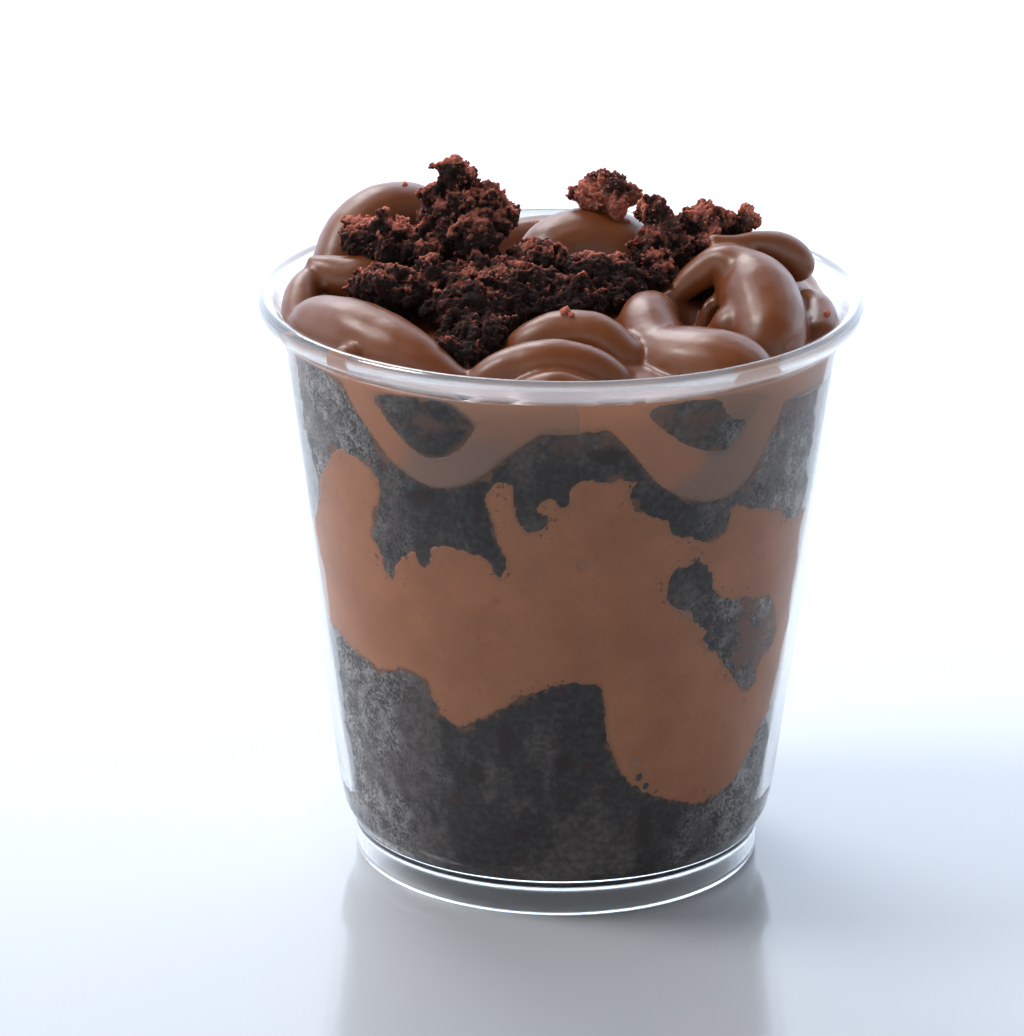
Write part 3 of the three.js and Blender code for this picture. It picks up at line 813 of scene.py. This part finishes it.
def crumbRelief(mesh, share=1.0, paler=0.0):
    points = getPoints(mesh)
    normals = getNormals(mesh)
    sizes = crumbleSizes
    tones = sizes["tones"]
    upward = smoothStep(normals[:, 2], *sizes["upward"])
    warp = np.column_stack([roundNoise(points + 10 * k, sizes["warp"], 2) for k in range(3)])
    coarse = cellBumps(points + sizes["coarseWarp"] * warp, sizes["coarse"]) - sizes["cellMiddle"]
    fine = cellBumps(points + sizes["fineWarp"] * warp, sizes["fine"]) - sizes["cellMiddle"]
    jags = 0.5 - np.abs(roundNoise(points + 30, sizes["jags"], 3)) * 2
    pits = smoothStep(roundNoise(points + 70, sizes["pits"], 2), *sizes["pitEdge"])
    height = sizes["coarseDepth"] * coarse + sizes["fineDepth"] * fine
    height += sizes["jagDepth"] * jags - sizes["pitDepth"] * pits
    setPoints(mesh, points + normals * height[:, None] * share)
    dryingAndGapGlare = sizes["drying"] * smoothStep(points[:, 2], sizes["moistTo"], sizes["dryFrom"])
    # painted light and shade: upward faces, raised cells and ridges are lighter and pits darker; drying and
    # the pile's paler tone are the crumbs' own
    relief = tones["cells"] * (coarse + fine) + tones["jags"] * jags - tones["pits"] * pits
    paintedLightAndTone = tones["upward"] * upward + relief + dryingAndGapGlare + paler - tones["darker"]
    setValue(mesh, "paintedLightAndTone", np.clip(paintedLightAndTone, 0, 1))


def dryCrumble():
    material, shader, place = newMaterial("cake crumble", Specular_IOR_Level=0.2, Subsurface_Weight=0.85,
                                          Subsurface_Radius=(1.0, 0.3, 0.2), Subsurface_Scale=1.0 * mm)
    paintedLightAndTone = pointValue(place, "paintedLightAndTone")
    grain = noiseAt(place, 0.5, 3.0).ramp(0.3, 0.7)
    patch = noiseAt(place, 4.0, 3.0).ramp(0.35, 0.66)
    # crumbs go from near black in painted shade to reddish brown in painted light, along with their own tone
    light = (paintedLightAndTone * (0.4 + 0.6 * patch)).ramp(0.3, 1.0)
    brown = light.mix(rgb(0.016, 0.0095, 0.0085), rgb(0.44, 0.145, 0.10))
    feed(shader, "Base Color", (grain * 0.4).mix(brown, rgb(0.02, 0.009, 0.008)))
    feed(shader, "Roughness", 0.95 - 0.2 * grain)
    feed(shader, "Normal", bump(noiseAt(place, 0.5, 4.0, 0.6), 0.9, 0.3))
    return material


grainSizes = {
    "shapes": 4, "faces": 1,             # differing shapes, each a ball of few faces
    "lumpy": 2.2, "lumpScale": 1.1, "lumpStep": 0.5,
    "thinnest": 0.55, "longest": 1.4,    # how a grain is drawn out
    "fullTurn": 6.283,
    "facing": (0.2, 1.0), "facingTone": 0.45, "chanceTone": 0.6,
    "knobs": {"Density": 0.075e6, "Smallest": 0.8 * mm, "Largest": 1.9 * mm, "Seed": 23},
    "bits": {"Density": 0.5e6, "Smallest": 0.22 * mm, "Largest": 0.62 * mm, "Seed": 37},
    "grains": {"Density": 1.2e6, "Smallest": 0.1 * mm, "Largest": 0.3 * mm, "Seed": 11},
}
looseSizes = {
    "dropFrom": 120, "levels": 2, "ragged": 0.5, "raggedSize": 0.5, "seed": 1, "tone": 2.0,
    "crumbs": [   # x, y and size of crumbs that fell on the frosting
        (0.6, -19.4, 0.75), (1.3, -20.2, 0.45), (25, 6.4, 0.45), (26.2, 6.9, 0.3), (10.2, 1.2, 0.4),
        (33, -8, 0.45), (8.4, 8.6, 0.3), (-20, 15, 0.4), (-3, 20.6, 0.5), (12, 14, 0.6), (14, 12.6, 0.4),
        (-14, 17.5, 0.5)],
}


def randomValue(given, kind, limits, step, output):
    seed = given.out("Seed") + float(step) if step else given.out("Seed")
    return given.add("FunctionNodeRandomValue", {"data_type": kind}, {**limits, "Seed": seed}, output)


def grainTree():
    # jagged grains of few faces set on a surface at random
    tree, given = newTree("grains", {"Density": "Float", "Smallest": "Float", "Largest": "Float",
                                     "Seed": "Int", "Paler": "Float", "Material": "Material"})
    spots = given.add("GeometryNodeDistributePointsOnFaces", None,
                      {"Mesh": given.out("Geometry"), "Density": given.out("Density"),
                       "Seed": given.out("Seed")})
    shapes = given.add("GeometryNodeJoinGeometry")
    for k in range(grainSizes["shapes"]):
        ball = given.add("GeometryNodeMeshIcoSphere", None,
                         {"Radius": 1.0, "Subdivisions": grainSizes["faces"]})
        where = given.add("GeometryNodeInputPosition")
        scale = grainSizes["lumpScale"] + grainSizes["lumpStep"] * k
        lumpy = given.add("ShaderNodeTexNoise", None,
                          {"Vector": where, "Scale": scale, "Detail": 1.0}, "Color")
        offset = lumpy.add("ShaderNodeVectorMath", {"operation": "MULTIPLY_ADD"},
                           {0: lumpy, 1: [grainSizes["lumpy"]] * 3, 2: [-grainSizes["lumpy"] / 2] * 3})
        moved = ball.add("GeometryNodeSetPosition", None, {"Geometry": ball, "Offset": offset})
        single = moved.add("GeometryNodeGeometryToInstance", None, {"Geometry": moved})
        tree.links.new(single.socket, shapes.socket.node.inputs[0])
    turnLimits = {"Min": (0, 0, 0), "Max": [grainSizes["fullTurn"]] * 3}
    turn = randomValue(given, "FLOAT_VECTOR", turnLimits, 0, "Value")
    draw = randomValue(given, "FLOAT", {}, 1, "Value_001")
    size = given.out("Smallest") + (given.out("Largest") - given.out("Smallest")) * draw * draw
    pick = randomValue(given, "INT", {"Max_002": grainSizes["shapes"] - 1}, 2, "Value_002")
    stretchLimits = {"Min": [grainSizes["thinnest"]] * 3, "Max": [grainSizes["longest"]] * 3}
    stretch = randomValue(given, "FLOAT_VECTOR", stretchLimits, 4, "Value")
    scale = stretch.add("ShaderNodeVectorMath", {"operation": "SCALE"}, {0: stretch, "Scale": size})
    placed = spots.add("GeometryNodeInstanceOnPoints", None,
                       {"Points": spots, "Instance": shapes, "Pick Instance": True, "Instance Index": pick,
                        "Rotation": turn, "Scale": scale})
    # grains facing up are painted lighter as painted light; the random share, drying and paler tone are the
    # grains' own
    facing = spots.out("Normal").axis("Z").ramp(*grainSizes["facing"])
    chance = randomValue(given, "FLOAT", {}, 3, "Value_001")
    height = given.add("GeometryNodeInputPosition").axis("Z")
    dryingAndGapGlare = crumbleSizes["drying"] * height.ramp(crumbleSizes["moistTo"] * mm, crumbleSizes["dryFrom"] * mm)
    tone = grainSizes["facingTone"] * facing + grainSizes["chanceTone"] * chance * chance
    tone = tone + dryingAndGapGlare + given.out("Paler")
    toned = placed.add("GeometryNodeStoreNamedAttribute", {"data_type": "FLOAT", "domain": "INSTANCE"},
                       {"Geometry": placed, "Name": "paintedLightAndTone", "Value": tone})
    endTree(toned, given.out("Material"))
    return tree


def scatterGrains(core, tree, values, material):
    grains = addObject("grains", core.data.copy())
    runTree(grains, tree, {**values, "Material": material})
    return grains


def dropCrumbs(frosting):
    # loose crumbs let fall straight down on the frosting
    ground = BVHTree.FromPolygons([v.co for v in frosting.data.vertices],
                                  [p.vertices for p in frosting.data.polygons])
    build = bmesh.new()
    noise.seed_set(looseSizes["seed"])   # without it noise_vector differs from run to run
    for k, (x, y, size) in enumerate(looseSizes["crumbs"]):
        hit = ground.ray_cast(Vector((x, y, looseSizes["dropFrom"])) * mm, Vector((0, 0, -1)))[0]
        if hit is None:
            continue
        ball = bmesh.ops.create_icosphere(build, subdivisions=looseSizes["levels"], radius=size * mm,
                                          matrix=Matrix.Translation(hit))
        for vert in ball["verts"]:
            spot = vert.co / (looseSizes["raggedSize"] * mm) + Vector((k, 0, 0))
            vert.co += noise.noise_vector(spot) * size * looseSizes["ragged"] * mm
    mesh = meshOf("loose", build)
    setValue(mesh, "paintedLightAndTone", np.full(len(mesh.vertices), looseSizes["tone"]))
    return addObject("loose", mesh)


def makeCrumble(name, tree, material, loose):
    pile = crumblePiles[name]
    core = lumpCore(name + "_core", pile["lumps"], crumbleSizes["coreVoxel"], crumbleSizes["coreShare"])
    fused = [scatterGrains(core, tree, grainSizes[kind], material) for kind in ("knobs", "bits")]
    core = joinMeshes(name + "_core", [core] + fused)
    voxelRemesh(core, crumbleSizes["voxel"], 1)
    crumbRelief(core.data, paler=pile["paler"])
    grains = scatterGrains(core, tree, {**grainSizes["grains"], "Paler": pile["paler"]}, material)
    grains = joinMeshes(name + "_grains", [grains] + loose)
    smoothFaces(core.data)
    smoothFaces(grains.data)
    for piece in (core, grains):
        dress(piece.data, material)
        finishPiece(piece, "cake_crumble", name)


# Piece of cake caught in the mousse

chunkSizes = {
    "edge": [            # angles and heights of the hole it shows through
        (32, 48.9), (36, 46), (37, 44), (42, 42), (54, 40.7), (60, 37.5), (62, 34), (56, 31.9),
        (55, 28.7), (51, 28.5), (45, 31.8), (39, 35.6), (35, 37.2), (36, 38.8), (30, 41.4), (26, 43.2),
        (25, 46), (26, 47.5), (30, 47.9)],
    "edgeSteps": 300, "wobble": 0.4, "fine": 0.45, "seed": 4,
    "lumps": [           # angle, height and half sizes of the lumps pressed on the wall
        (31, 45.6, (4, 3.8, 3.6)), (40.5, 40.6, (4.4, 4.6, 3.8)), (52, 37.2, (4.6, 5, 4.8)),
        (53, 32, (4, 3.4, 4.2)), (58, 35, (3.2, 3.4, 3.8)), (42, 37, (3.6, 3, 3)),
        (48, 33.4, (3.4, 3, 3.6))],
    "inset": 0.8, "voxel": 0.27, "relief": 0.6,
    "pitsFrom": (0.6, 0.3),
    "smeared": (38, 47), "smear": 0.25,      # mousse wiped over its right half
    "smearUneven": 2.2, "smearPatch": 3.2,
}


def chunkLine():
    closed = np.array(chunkSizes["edge"] + chunkSizes["edge"][:1])
    line = smoothLine(closed * [arcPerDegree, 1], chunkSizes["edgeSteps"]) / [arcPerDegree, 1]
    return shiftLine(line, chunkSizes["wobble"], chunkSizes["fine"], chunkSizes["seed"])


def makeChunk(cake, ropes, cakeTop):
    lumps = []
    for angle, height, size in chunkSizes["lumps"]:
        lumps.append((polar(angle, wallRadius(height) - chunkSizes["inset"], height), size))
    chunk = lumpCore("cake_chunk_crumb", lumps, chunkSizes["voxel"])
    crumbRelief(chunk.data, chunkSizes["relief"])
    pressOnWall(chunk.data, layerSizes["chunkInWall"])
    points = getPoints(chunk.data)
    reach = np.hypot(points[:, 0], points[:, 1])
    wall = wallRadius(points[:, 2])
    deep, shallow = chunkSizes["pitsFrom"]
    pits = cakePits(points) * smoothStep(reach, wall - deep, wall - shallow)
    points[:, :2] *= (1 - pits / reach)[:, None]
    setPoints(chunk.data, points)
    markWall(chunk.data, ropes, cakeTop)
    smear = smoothStep(angleOf(points), *chunkSizes["smeared"])
    uneven = chunkSizes["smearUneven"] * roundNoise(points, chunkSizes["smearPatch"], 3)
    spread = smear * (chunkSizes["smear"] + uneven)
    setValue(chunk.data, "depth", spread - layerSizes["farAway"] * (1 - smear))
    dress(chunk.data, cake)
    smoothFaces(chunk.data)
    finishPiece(chunk, "dark_cake", "cake_chunk")


# Piped frosting

frostingSizes = {
    "voxel": 0.46,
    "smoothing": 3,
    "inWall": 0.06,
    "uneven": [(0.16, 5.0, 2, 0), (0.35, 13.0, 1, 50)],   # depth, size, octaves and place of each noise
    "bedLevels": [       # radius and height of the bed under the beads
        (0, 74.2), (16.8, 73.8), (24, 72.2), (29, 71.5), (33, 71.3), (45, 71.2)],
    "bedRows": 6, "bedEdge": 35.0, "bedInWall": 0.4, "bedSink": 0.6,
    "underShares": (0.3, 0.6, 0.9), "overRadii": (30, 24, 18, 12, 6),
    "lineSteps": 60, "sides": 20, "tip": 0.02,
    "lowest": 55,        # no frosting lies on the wall below this
    "ropeInset": 0.6,    # how far a rope's middle lies from the wall, as a share of its girth
    "frontRopes": [      # angle, height and girth along the two ropes at the front
        [(-47, 71.6, 2.3), (-44.4, 68.6, 2.5), (-40.9, 66.2, 2.5), (-37.1, 63.8, 2.5), (-33, 61.9, 2.5),
         (-28, 60.7, 2.6), (-22.1, 61.4, 2.7), (-17.4, 63.4, 3.1), (-13.6, 66, 3.4), (-9, 68, 3.2),
         (-2.4, 69.8, 2.5)],
        [(9, 70.6, 2.7), (13.8, 68.4, 3), (17.8, 65.8, 3.2), (22.7, 62.9, 3.5), (27.8, 61, 3.9),
         (32.8, 60, 4.1), (38, 60, 4), (42, 61.9, 3.6), (44.4, 64.3, 3.3), (47, 66.6, 3.2),
         (52, 68.6, 2.9)]],
    "backRopes": [(105, 1), (178, -0.4), (252, 0.6)],   # angle and drop of each
    "backRope": [(-24, 70.4, 2.4), (-16, 68.6, 2.5), (-11.5, 64.6, 2.7), (-6, 61.4, 2.9), (3, 60.2, 2.9),
                 (10, 62, 2.7), (16, 65.8, 2.5), (22.5, 69.4, 2.4)],
    "ropeTop": 71, "ropeLength": 10,     # a rope's drop grows from its top over this length
    "dip": {             # inside the loop
        "at": (16.6, -7.6), "reach": (1.7, 3.4), "depth": 3.2, "above": 71, "below": (73.4, 74.6)},
}
beads = {   # x, y, z and girth along each bead
    "back left arch": [(-28.4, 5, 69.6, 3.4), (-27.9, 9.6, 75.4, 3.9), (-24.6, 13.2, 78.6, 4.5),
                       (-18.8, 16, 78.6, 4.6), (-11, 17, 71, 4.4)],
    "left middle": [(-32, 1, 78.2, 1), (-30.2, 0.6, 76.9, 2.2), (-27.4, 0, 75.7, 3.2), (-23.5, 0, 75.2, 3.6),
                    (-18, 1, 73, 3.4)],
    "left upright": [(-31.2, 1, 76.2, 1.6), (-32.4, -3, 74.4, 2.3), (-32.4, -8, 71.4, 2.5),
                     (-31.2, -12, 68, 2.4)],
    "front left": [(-32, -7.5, 70.4, 2.4), (-29.8, -11.5, 73.2, 3.7), (-25.6, -16.5, 73.6, 4.3),
                   (-20.6, -21, 72.8, 4.2), (-15.5, -25, 71.4, 3.2), (-11, -28, 69.6, 2)],
    "dab on the lip": [(-26.3, -23, 74.3, 1.2), (-26, -23.4, 72.8, 1.8), (-25.4, -23.6, 70, 2.2)],
    "front arch": [(-11.4, -27, 68.6, 2.4), (-7.3, -27, 72, 2.7), (-1.8, -27, 73.7, 2.8),
                   (3.6, -27, 72.6, 2.8), (8.4, -27, 69.2, 2.6)],
    "arc at the glass": [(-6, -31, 69.4, 2.2), (-0.6, -31.2, 71.6, 2.2), (5, -31, 69.6, 2.2)],
    "second arch": [(-6, -18, 70, 3), (-3.1, -19, 73.4, 3.1), (0.9, -19, 74.5, 3.2), (5.4, -20, 73.7, 3.1),
                    (9.8, -22, 70.4, 2.6)],
    "right ribbon": [(12.4, -6, 70.5, 2.4), (11.3, -9.8, 73.8, 3.5), (10.9, -13.4, 73.4, 4),
                     (12.4, -18.2, 71, 4.9), (16.5, -21.8, 71, 5.5), (21.2, -23.8, 70.8, 5.4),
                     (26, -25, 69.6, 3.8)],
    "right loop": [(11.6, -4, 73.4, 1.1), (14.4, -3.4, 75.2, 1.5), (17, -3, 77.4, 2), (19.6, -3, 79, 2.4),
                   (22.4, -4, 77.6, 4.1), (24.6, -7, 75.8, 5.1), (25.6, -12, 73, 4.8),
                   (25.2, -18, 70.5, 3.5)],
    "fold of the loop": [(25.4, -9, 74.6, 3.4), (22, -10.6, 73.6, 3), (19.4, -12.6, 71.6, 2.4)],
    "inside the loop": [(15, -9.4, 70.6, 0.9), (17, -7, 72.6, 0.8), (19.6, -4.6, 75.2, 0.9)],
    "back right crest": [(18.2, -1.2, 81.7, 0.8), (21.3, -0.6, 81, 1), (24.2, 1, 80.4, 1.6),
                         (27, 2.6, 79.3, 2.3), (29.4, 3, 77.6, 2.4), (30, 1.5, 75.4, 2)],
    "under the crest": [(20, 8, 73, 4), (24.5, 8.5, 75, 4), (28.5, 6, 73.4, 4)],
    "right wall": [(30.4, 1, 73.4, 1.8), (32, -4, 72.9, 2.3), (32, -11, 70.6, 2.6)],
    "back dome": [(-5, 7, 73.6, 4.6), (0.8, 10, 76.2, 5.5), (6, 10, 76.4, 5.5), (12, 7.4, 73.6, 5)],
    "far side": [(-14, 20.4, 71.6, 3.6), (-6, 22.4, 73.4, 3.9), (2, 22, 73.8, 4), (9, 20.4, 73, 4),
                 (15, 16.6, 71, 3.6)],
    "far right": [(10, 24, 69.6, 3), (17, 20.6, 71.6, 3.6), (23, 15.6, 72, 3.8), (28, 9.4, 71.4, 3.4),
                  (30.8, 3, 70, 3)],
    "ring at the right": [(32.2, 6, 69.4, 2.6), (29.4, 14.4, 70.8, 3.2), (24, 21.8, 71.2, 3.5),
                          (16.4, 27.4, 70.8, 3.4), (8.6, 30.2, 69.2, 2.8)],
    "ring at the back": [(12, 29, 69, 2.6), (4, 30, 71, 3.4), (-4.6, 30, 71.4, 3.7), (-12.6, 27.6, 71, 3.5),
                         (-19, 23.6, 69, 3)],
    "ring at the left": [(-14.6, 27, 69.2, 2.8), (-21.4, 22.6, 71.4, 3.6), (-27, 16, 71.8, 3.8),
                         (-30.4, 9, 71, 3.4), (-32, 2, 69.4, 2.8)],
}


def frostingGap(points, ropes, cakeTop):
    # millimetres outside the frosting that lies on the wall, negative inside it
    high = points[:, 2] > frostingSizes["lowest"]
    near = points[high]
    nearest = np.interp(angleOf(near), columnAngles, cakeTop, period=360) - near[:, 2]
    for mark in np.vstack([smoothLine(rope, frostingSizes["lineSteps"]) for rope in ropes]):
        nearest = np.minimum(nearest, np.linalg.norm(near - mark[:3], axis=1) - mark[3])
    gap = np.full(len(points), layerSizes["farAway"])
    gap[high] = nearest
    return gap


def alongRope(points, ropes):
    # share of the way along the nearest rope
    nearest = np.full(len(points), np.inf)
    along = np.zeros(len(points))
    steps = frostingSizes["lineSteps"]
    for rope in ropes:
        for k, mark in enumerate(smoothLine(rope, steps)):
            apart = np.linalg.norm(points - mark[:3], axis=1)
            closer = apart < nearest
            nearest[closer] = apart[closer]
            along[closer] = k / (steps - 1)
    return along


def sweepTree():
    tree, given = newTree("piped bead", {"Sides": "Int", "Material": "Material"})
    path = given.add("GeometryNodeMeshToCurve", None, {"Mesh": given.out("Geometry")})
    ring = given.add("GeometryNodeCurvePrimitiveCircle", None,
                     {"Resolution": given.out("Sides"), "Radius": 1.0})
    girth = given.add("GeometryNodeInputNamedAttribute", {"data_type": "FLOAT"}, {"Name": "girth"})
    swept = path.add("GeometryNodeCurveToMesh", None,
                     {"Curve": path, "Profile Curve": ring, "Scale": girth, "Fill Caps": True})
    endTree(swept, given.out("Material"))
    return tree


def pipeBead(name, line, tree, material):
    # line holds x, y, z and girth, and both ends are rounded off
    line = smoothLine(line, frostingSizes["lineSteps"])
    length = np.r_[0, np.cumsum(np.linalg.norm(np.diff(line[:, :3], axis=0), axis=1))]
    fromEnd = np.minimum(length, length[-1] - length)
    blunt = np.clip(1 - fromEnd / line[:, 3], 0, 1)
    girth = line[:, 3] * np.sqrt(np.clip(1 - blunt ** 2, frostingSizes["tip"], 1))
    mesh = meshFrom(name, line[:, :3], [], [(k, k + 1) for k in range(len(line) - 1)])
    setValue(mesh, "girth", girth * mm)
    bead = addObject(name, mesh)
    runTree(bead, tree, {"Sides": frostingSizes["sides"], "Material": material})
    return bead


def ropeLines():
    ropes = list(frostingSizes["frontRopes"])
    top = frostingSizes["ropeTop"]
    length = frostingSizes["ropeLength"]
    for middle, drop in frostingSizes["backRopes"]:
        rope = []
        for angle, height, girth in frostingSizes["backRope"]:
            rope.append((middle + angle, height + drop * (top - height) / length, girth))
        ropes.append(rope)
    inset = frostingSizes["ropeInset"]
    return [[(*polar(a, wallRadius(z) - inset * g, z), g) for a, z, g in rope] for rope in ropes]


def bedRings(low):
    radii, levels = np.array(frostingSizes["bedLevels"]).T
    flat = np.ones(len(low))
    high = flat * np.interp(frostingSizes["bedEdge"], radii, levels)
    rings = []
    for share in frostingSizes["underShares"]:
        rings.append((wallRadius(low) * share, low + (upperCakeTop["middle"] - low) * (1 - share)))
    for share in np.linspace(0, 1, frostingSizes["bedRows"]):
        height = low + (high - low) * share
        rings.append((wallRadius(height) + frostingSizes["bedInWall"], height))
    for radius in frostingSizes["overRadii"]:
        rings.append((flat * radius, flat * np.interp(radius, radii, levels)))
    return rings


def pressOnWall(mesh, depth):
    points = getPoints(mesh)
    reach = np.hypot(points[:, 0], points[:, 1])
    most = np.where(points[:, 2] < rimHeight, wallReach(angleOf(points), points[:, 2], depth), np.inf)
    points[:, :2] *= np.minimum(1, most / np.maximum(reach, 0.001))[:, None]
    setPoints(mesh, points)


def pipedFrosting():
    material, shader, place = newMaterial("piped frosting", Specular_IOR_Level=0.56, Subsurface_Weight=0.12,
                                          Subsurface_Radius=(1.0, 0.5, 0.35), Subsurface_Scale=1.2 * mm)
    pressed = pointValue(place, "pressed")
    cloud = noiseAt(place, 8.0, 4.0, 0.6).ramp(0.3, 0.7)
    # The frosting pressed on the wall is painted lighter than the free frosting, painted light that makes up
    # for the darkening behind the plastic, and it is painted darker at the back as painted shade
    free = cloud.mix(rgb(0.15, 0.0385, 0.0088), rgb(0.18, 0.0515, 0.0133))
    # round the bottom of each rope the pressed frosting is painted greyer, a painted hazy reflection
    along = pointValue(place, "along") + (cloud - 0.5) * 0.16
    ropeHaze = along.ramp(0.34, 0.52) * (1 - 0.5 * along.ramp(0.7, 0.9))
    onWall = ropeHaze.mix(rgb(0.40, 0.152, 0.062), rgb(0.235, 0.125, 0.08))
    onWall = backHalf(place).mix(onWall, rgb(0.175, 0.074, 0.037))
    brown = pressed.mix(free, onWall)
    # painted shade: near the edge of the frosting on the wall it is painted greyer and darker, where the rope
    # curves away from the wall
    edgeShade = (pointValue(place, "frostingGap") + noiseAt(place, 1.4, 3.0, 0.6) * 0.8).ramp(-0.25, 0.6)
    brown = (edgeShade * pressed * (0.25 + 0.5 * ropeHaze)).mix(brown, rgb(0.13, 0.07, 0.046))
    fleck = noiseAt(place, 0.9, 2.0).ramp(0.64, 0.76)
    feed(shader, "Base Color", (fleck * 0.25).mix(brown, rgb(0.08, 0.028, 0.014)))
    feed(shader, "Roughness", noiseAt(place, 2.5).ramp(0.3, 0.7) * 0.08 + 0.33)
    feed(shader, "Normal", bump(noiseAt(place, 0.8, 3.0), 0.2, 0.06))
    return material


def makeFrosting(material, ropes, cakeTop):
    tree = sweepTree()
    pieces = [addObject("bed", shellMesh("bed", bedRings(cakeTop - frostingSizes["bedSink"])))]
    for line in ropes:
        pieces.append(pipeBead("rope", line, tree, material))
    for name, line in beads.items():
        pieces.append(pipeBead(name, line, tree, material))
    frosting = joinMeshes("piped_frosting", pieces)
    voxelRemesh(frosting, frostingSizes["voxel"], frostingSizes["smoothing"])
    mesh = frosting.data
    points = getPoints(mesh)
    uneven = np.zeros(len(points))
    for deep, size, octaves, away in frostingSizes["uneven"]:
        uneven += deep * roundNoise(points + away, size, octaves)
    points += getNormals(mesh) * uneven[:, None]
    dip = frostingSizes["dip"]
    near = 1 - smoothStep(np.hypot(*(points[:, :2] - dip["at"]).T), *dip["reach"])
    low = 1 - smoothStep(points[:, 2], *dip["below"])
    points[:, 2] -= dip["depth"] * near * low * (points[:, 2] > dip["above"])
    setPoints(mesh, points)
    pressOnWall(mesh, frostingSizes["inWall"])
    markWall(mesh, ropes, cakeTop)
    setValue(mesh, "along", alongRope(getPoints(mesh), ropes))
    dress(mesh, material)
    smoothFaces(mesh)
    finishPiece(frosting, "frosting", "frosting")
    return frosting


# Camera, floor and light

viewSizes = {
    "focalPixels": 5478, "distance": 0.7, "target": (0, 0, 0.037),
    "elevation": 19.8, "pan": 0.49, "tilt": 0.55, "roll": -0.54,
    "imageWidth": 1024, "sensor": 36, "clipStart": 0.01,
}


def placeCamera():
    lift = math.radians(viewSizes["elevation"])
    back = Vector((0, -math.cos(lift), math.sin(lift)))
    ahead = -back
    right = Vector((1, 0, 0))
    up = right.cross(ahead)
    spin = Matrix.Rotation(math.radians(viewSizes["pan"]), 3, up)
    ahead, right = spin @ ahead, spin @ right
    spin = Matrix.Rotation(math.radians(viewSizes["tilt"]), 3, right)
    ahead, up = spin @ ahead, spin @ up
    spin = Matrix.Rotation(math.radians(viewSizes["roll"]), 3, ahead)
    right, up = spin @ right, spin @ up
    data = bpy.data.cameras.new("camera")
    data.sensor_fit = "HORIZONTAL"
    data.sensor_width = viewSizes["sensor"]
    data.lens = viewSizes["focalPixels"] * viewSizes["sensor"] / viewSizes["imageWidth"]
    data.clip_start = viewSizes["clipStart"]
    camera = addObject("camera", data)
    turn = Matrix((right, up, -ahead)).transposed().to_4x4()
    place = Vector(viewSizes["target"]) + back * viewSizes["distance"]
    camera.matrix_world = Matrix.Translation(place) @ turn
    bpy.context.scene.camera = camera


floorSizes = {"radius": 4.0, "sides": 96, "cloud": 300.0, "cloudDepth": 0.08, "shade": (-0.15, 0.3)}


def makeFloor():
    build = bmesh.new()
    bmesh.ops.create_circle(build, cap_ends=True, segments=floorSizes["sides"], radius=floorSizes["radius"])
    mesh = meshOf("table", build)
    floor = addObject("table", mesh)
    material, shader, place = newMaterial("pale table", Specular_IOR_Level=0.6, Roughness=0.1)
    # painted light: the table is painted darker near the cup and lighter far away, with a faint cloud in the
    # change
    depth = place.axis("Y")
    cloud = noiseAt(place, floorSizes["cloud"], 2.0) * floorSizes["cloudDepth"]
    far = (depth + cloud).ramp(*floorSizes["shade"])
    feed(shader, "Base Color", far.mix(rgb(0.42, 0.435, 0.455), rgb(0.72, 0.74, 0.77)))
    mesh.materials.append(material)


lampSizes = {   # place in metres, size and power of each lamp, all turned to one point
    "aim": (0, 0, 0.06),
    "lamps": {
        "window behind": ((-0.3, 0.65, 0.8), 0.5, 5.0),
        "window at the left": ((-0.6, 0.0, 0.8), 0.34, 5.0)},
}


def makeLight():
    scene = bpy.context.scene
    world = bpy.data.worlds.new("studio")
    world.use_nodes = True
    scene.world = world
    sky = Wire(world.node_tree)
    way = sky.add("ShaderNodeTexCoord", output="Generated")
    ahead = way.axis("Y")
    room = ahead.out("Z").ramp(0.05, 0.7).mix(rgb(1.5, 1.5, 1.5), rgb(0.15, 0.15, 0.155))
    glow = (ahead - ahead.out("Z") * 0.55).ramp(-0.4, 0.75).mix(room, rgb(2.0, 2.3, 2.75))
    world.node_tree.links.new(glow.socket, world.node_tree.nodes["Background"].inputs["Color"])
    for name, (place, size, power) in lampSizes["lamps"].items():
        data = bpy.data.lights.new(name, "AREA")
        data.shape = "DISK"
        data.size = size
        data.energy = power
        lamp = addObject(name, data)
        lamp.location = place
        away = Vector(lampSizes["aim"]) - Vector(place)
        lamp.rotation_euler = away.to_track_quat("-Z", "Y").to_euler()
    scene.view_settings.view_transform = "Standard"


def makeScene():
    placeCamera()
    makeFloor()
    makeLight()
    print("camera, floor and light")
    makeCup()
    cake = darkCake()
    ropes = ropeLines()
    cakeTop = makeLayers(cake, ropes)
    makeChunk(cake, ropes, cakeTop)
    frosting = makeFrosting(pipedFrosting(), ropes, cakeTop)
    crumble = dryCrumble()
    tree = grainTree()
    loose = dropCrumbs(frosting)
    for name in crumblePiles:
        makeCrumble(name, tree, crumble, [loose] if name == "crumble_right" else [])


makeScene()
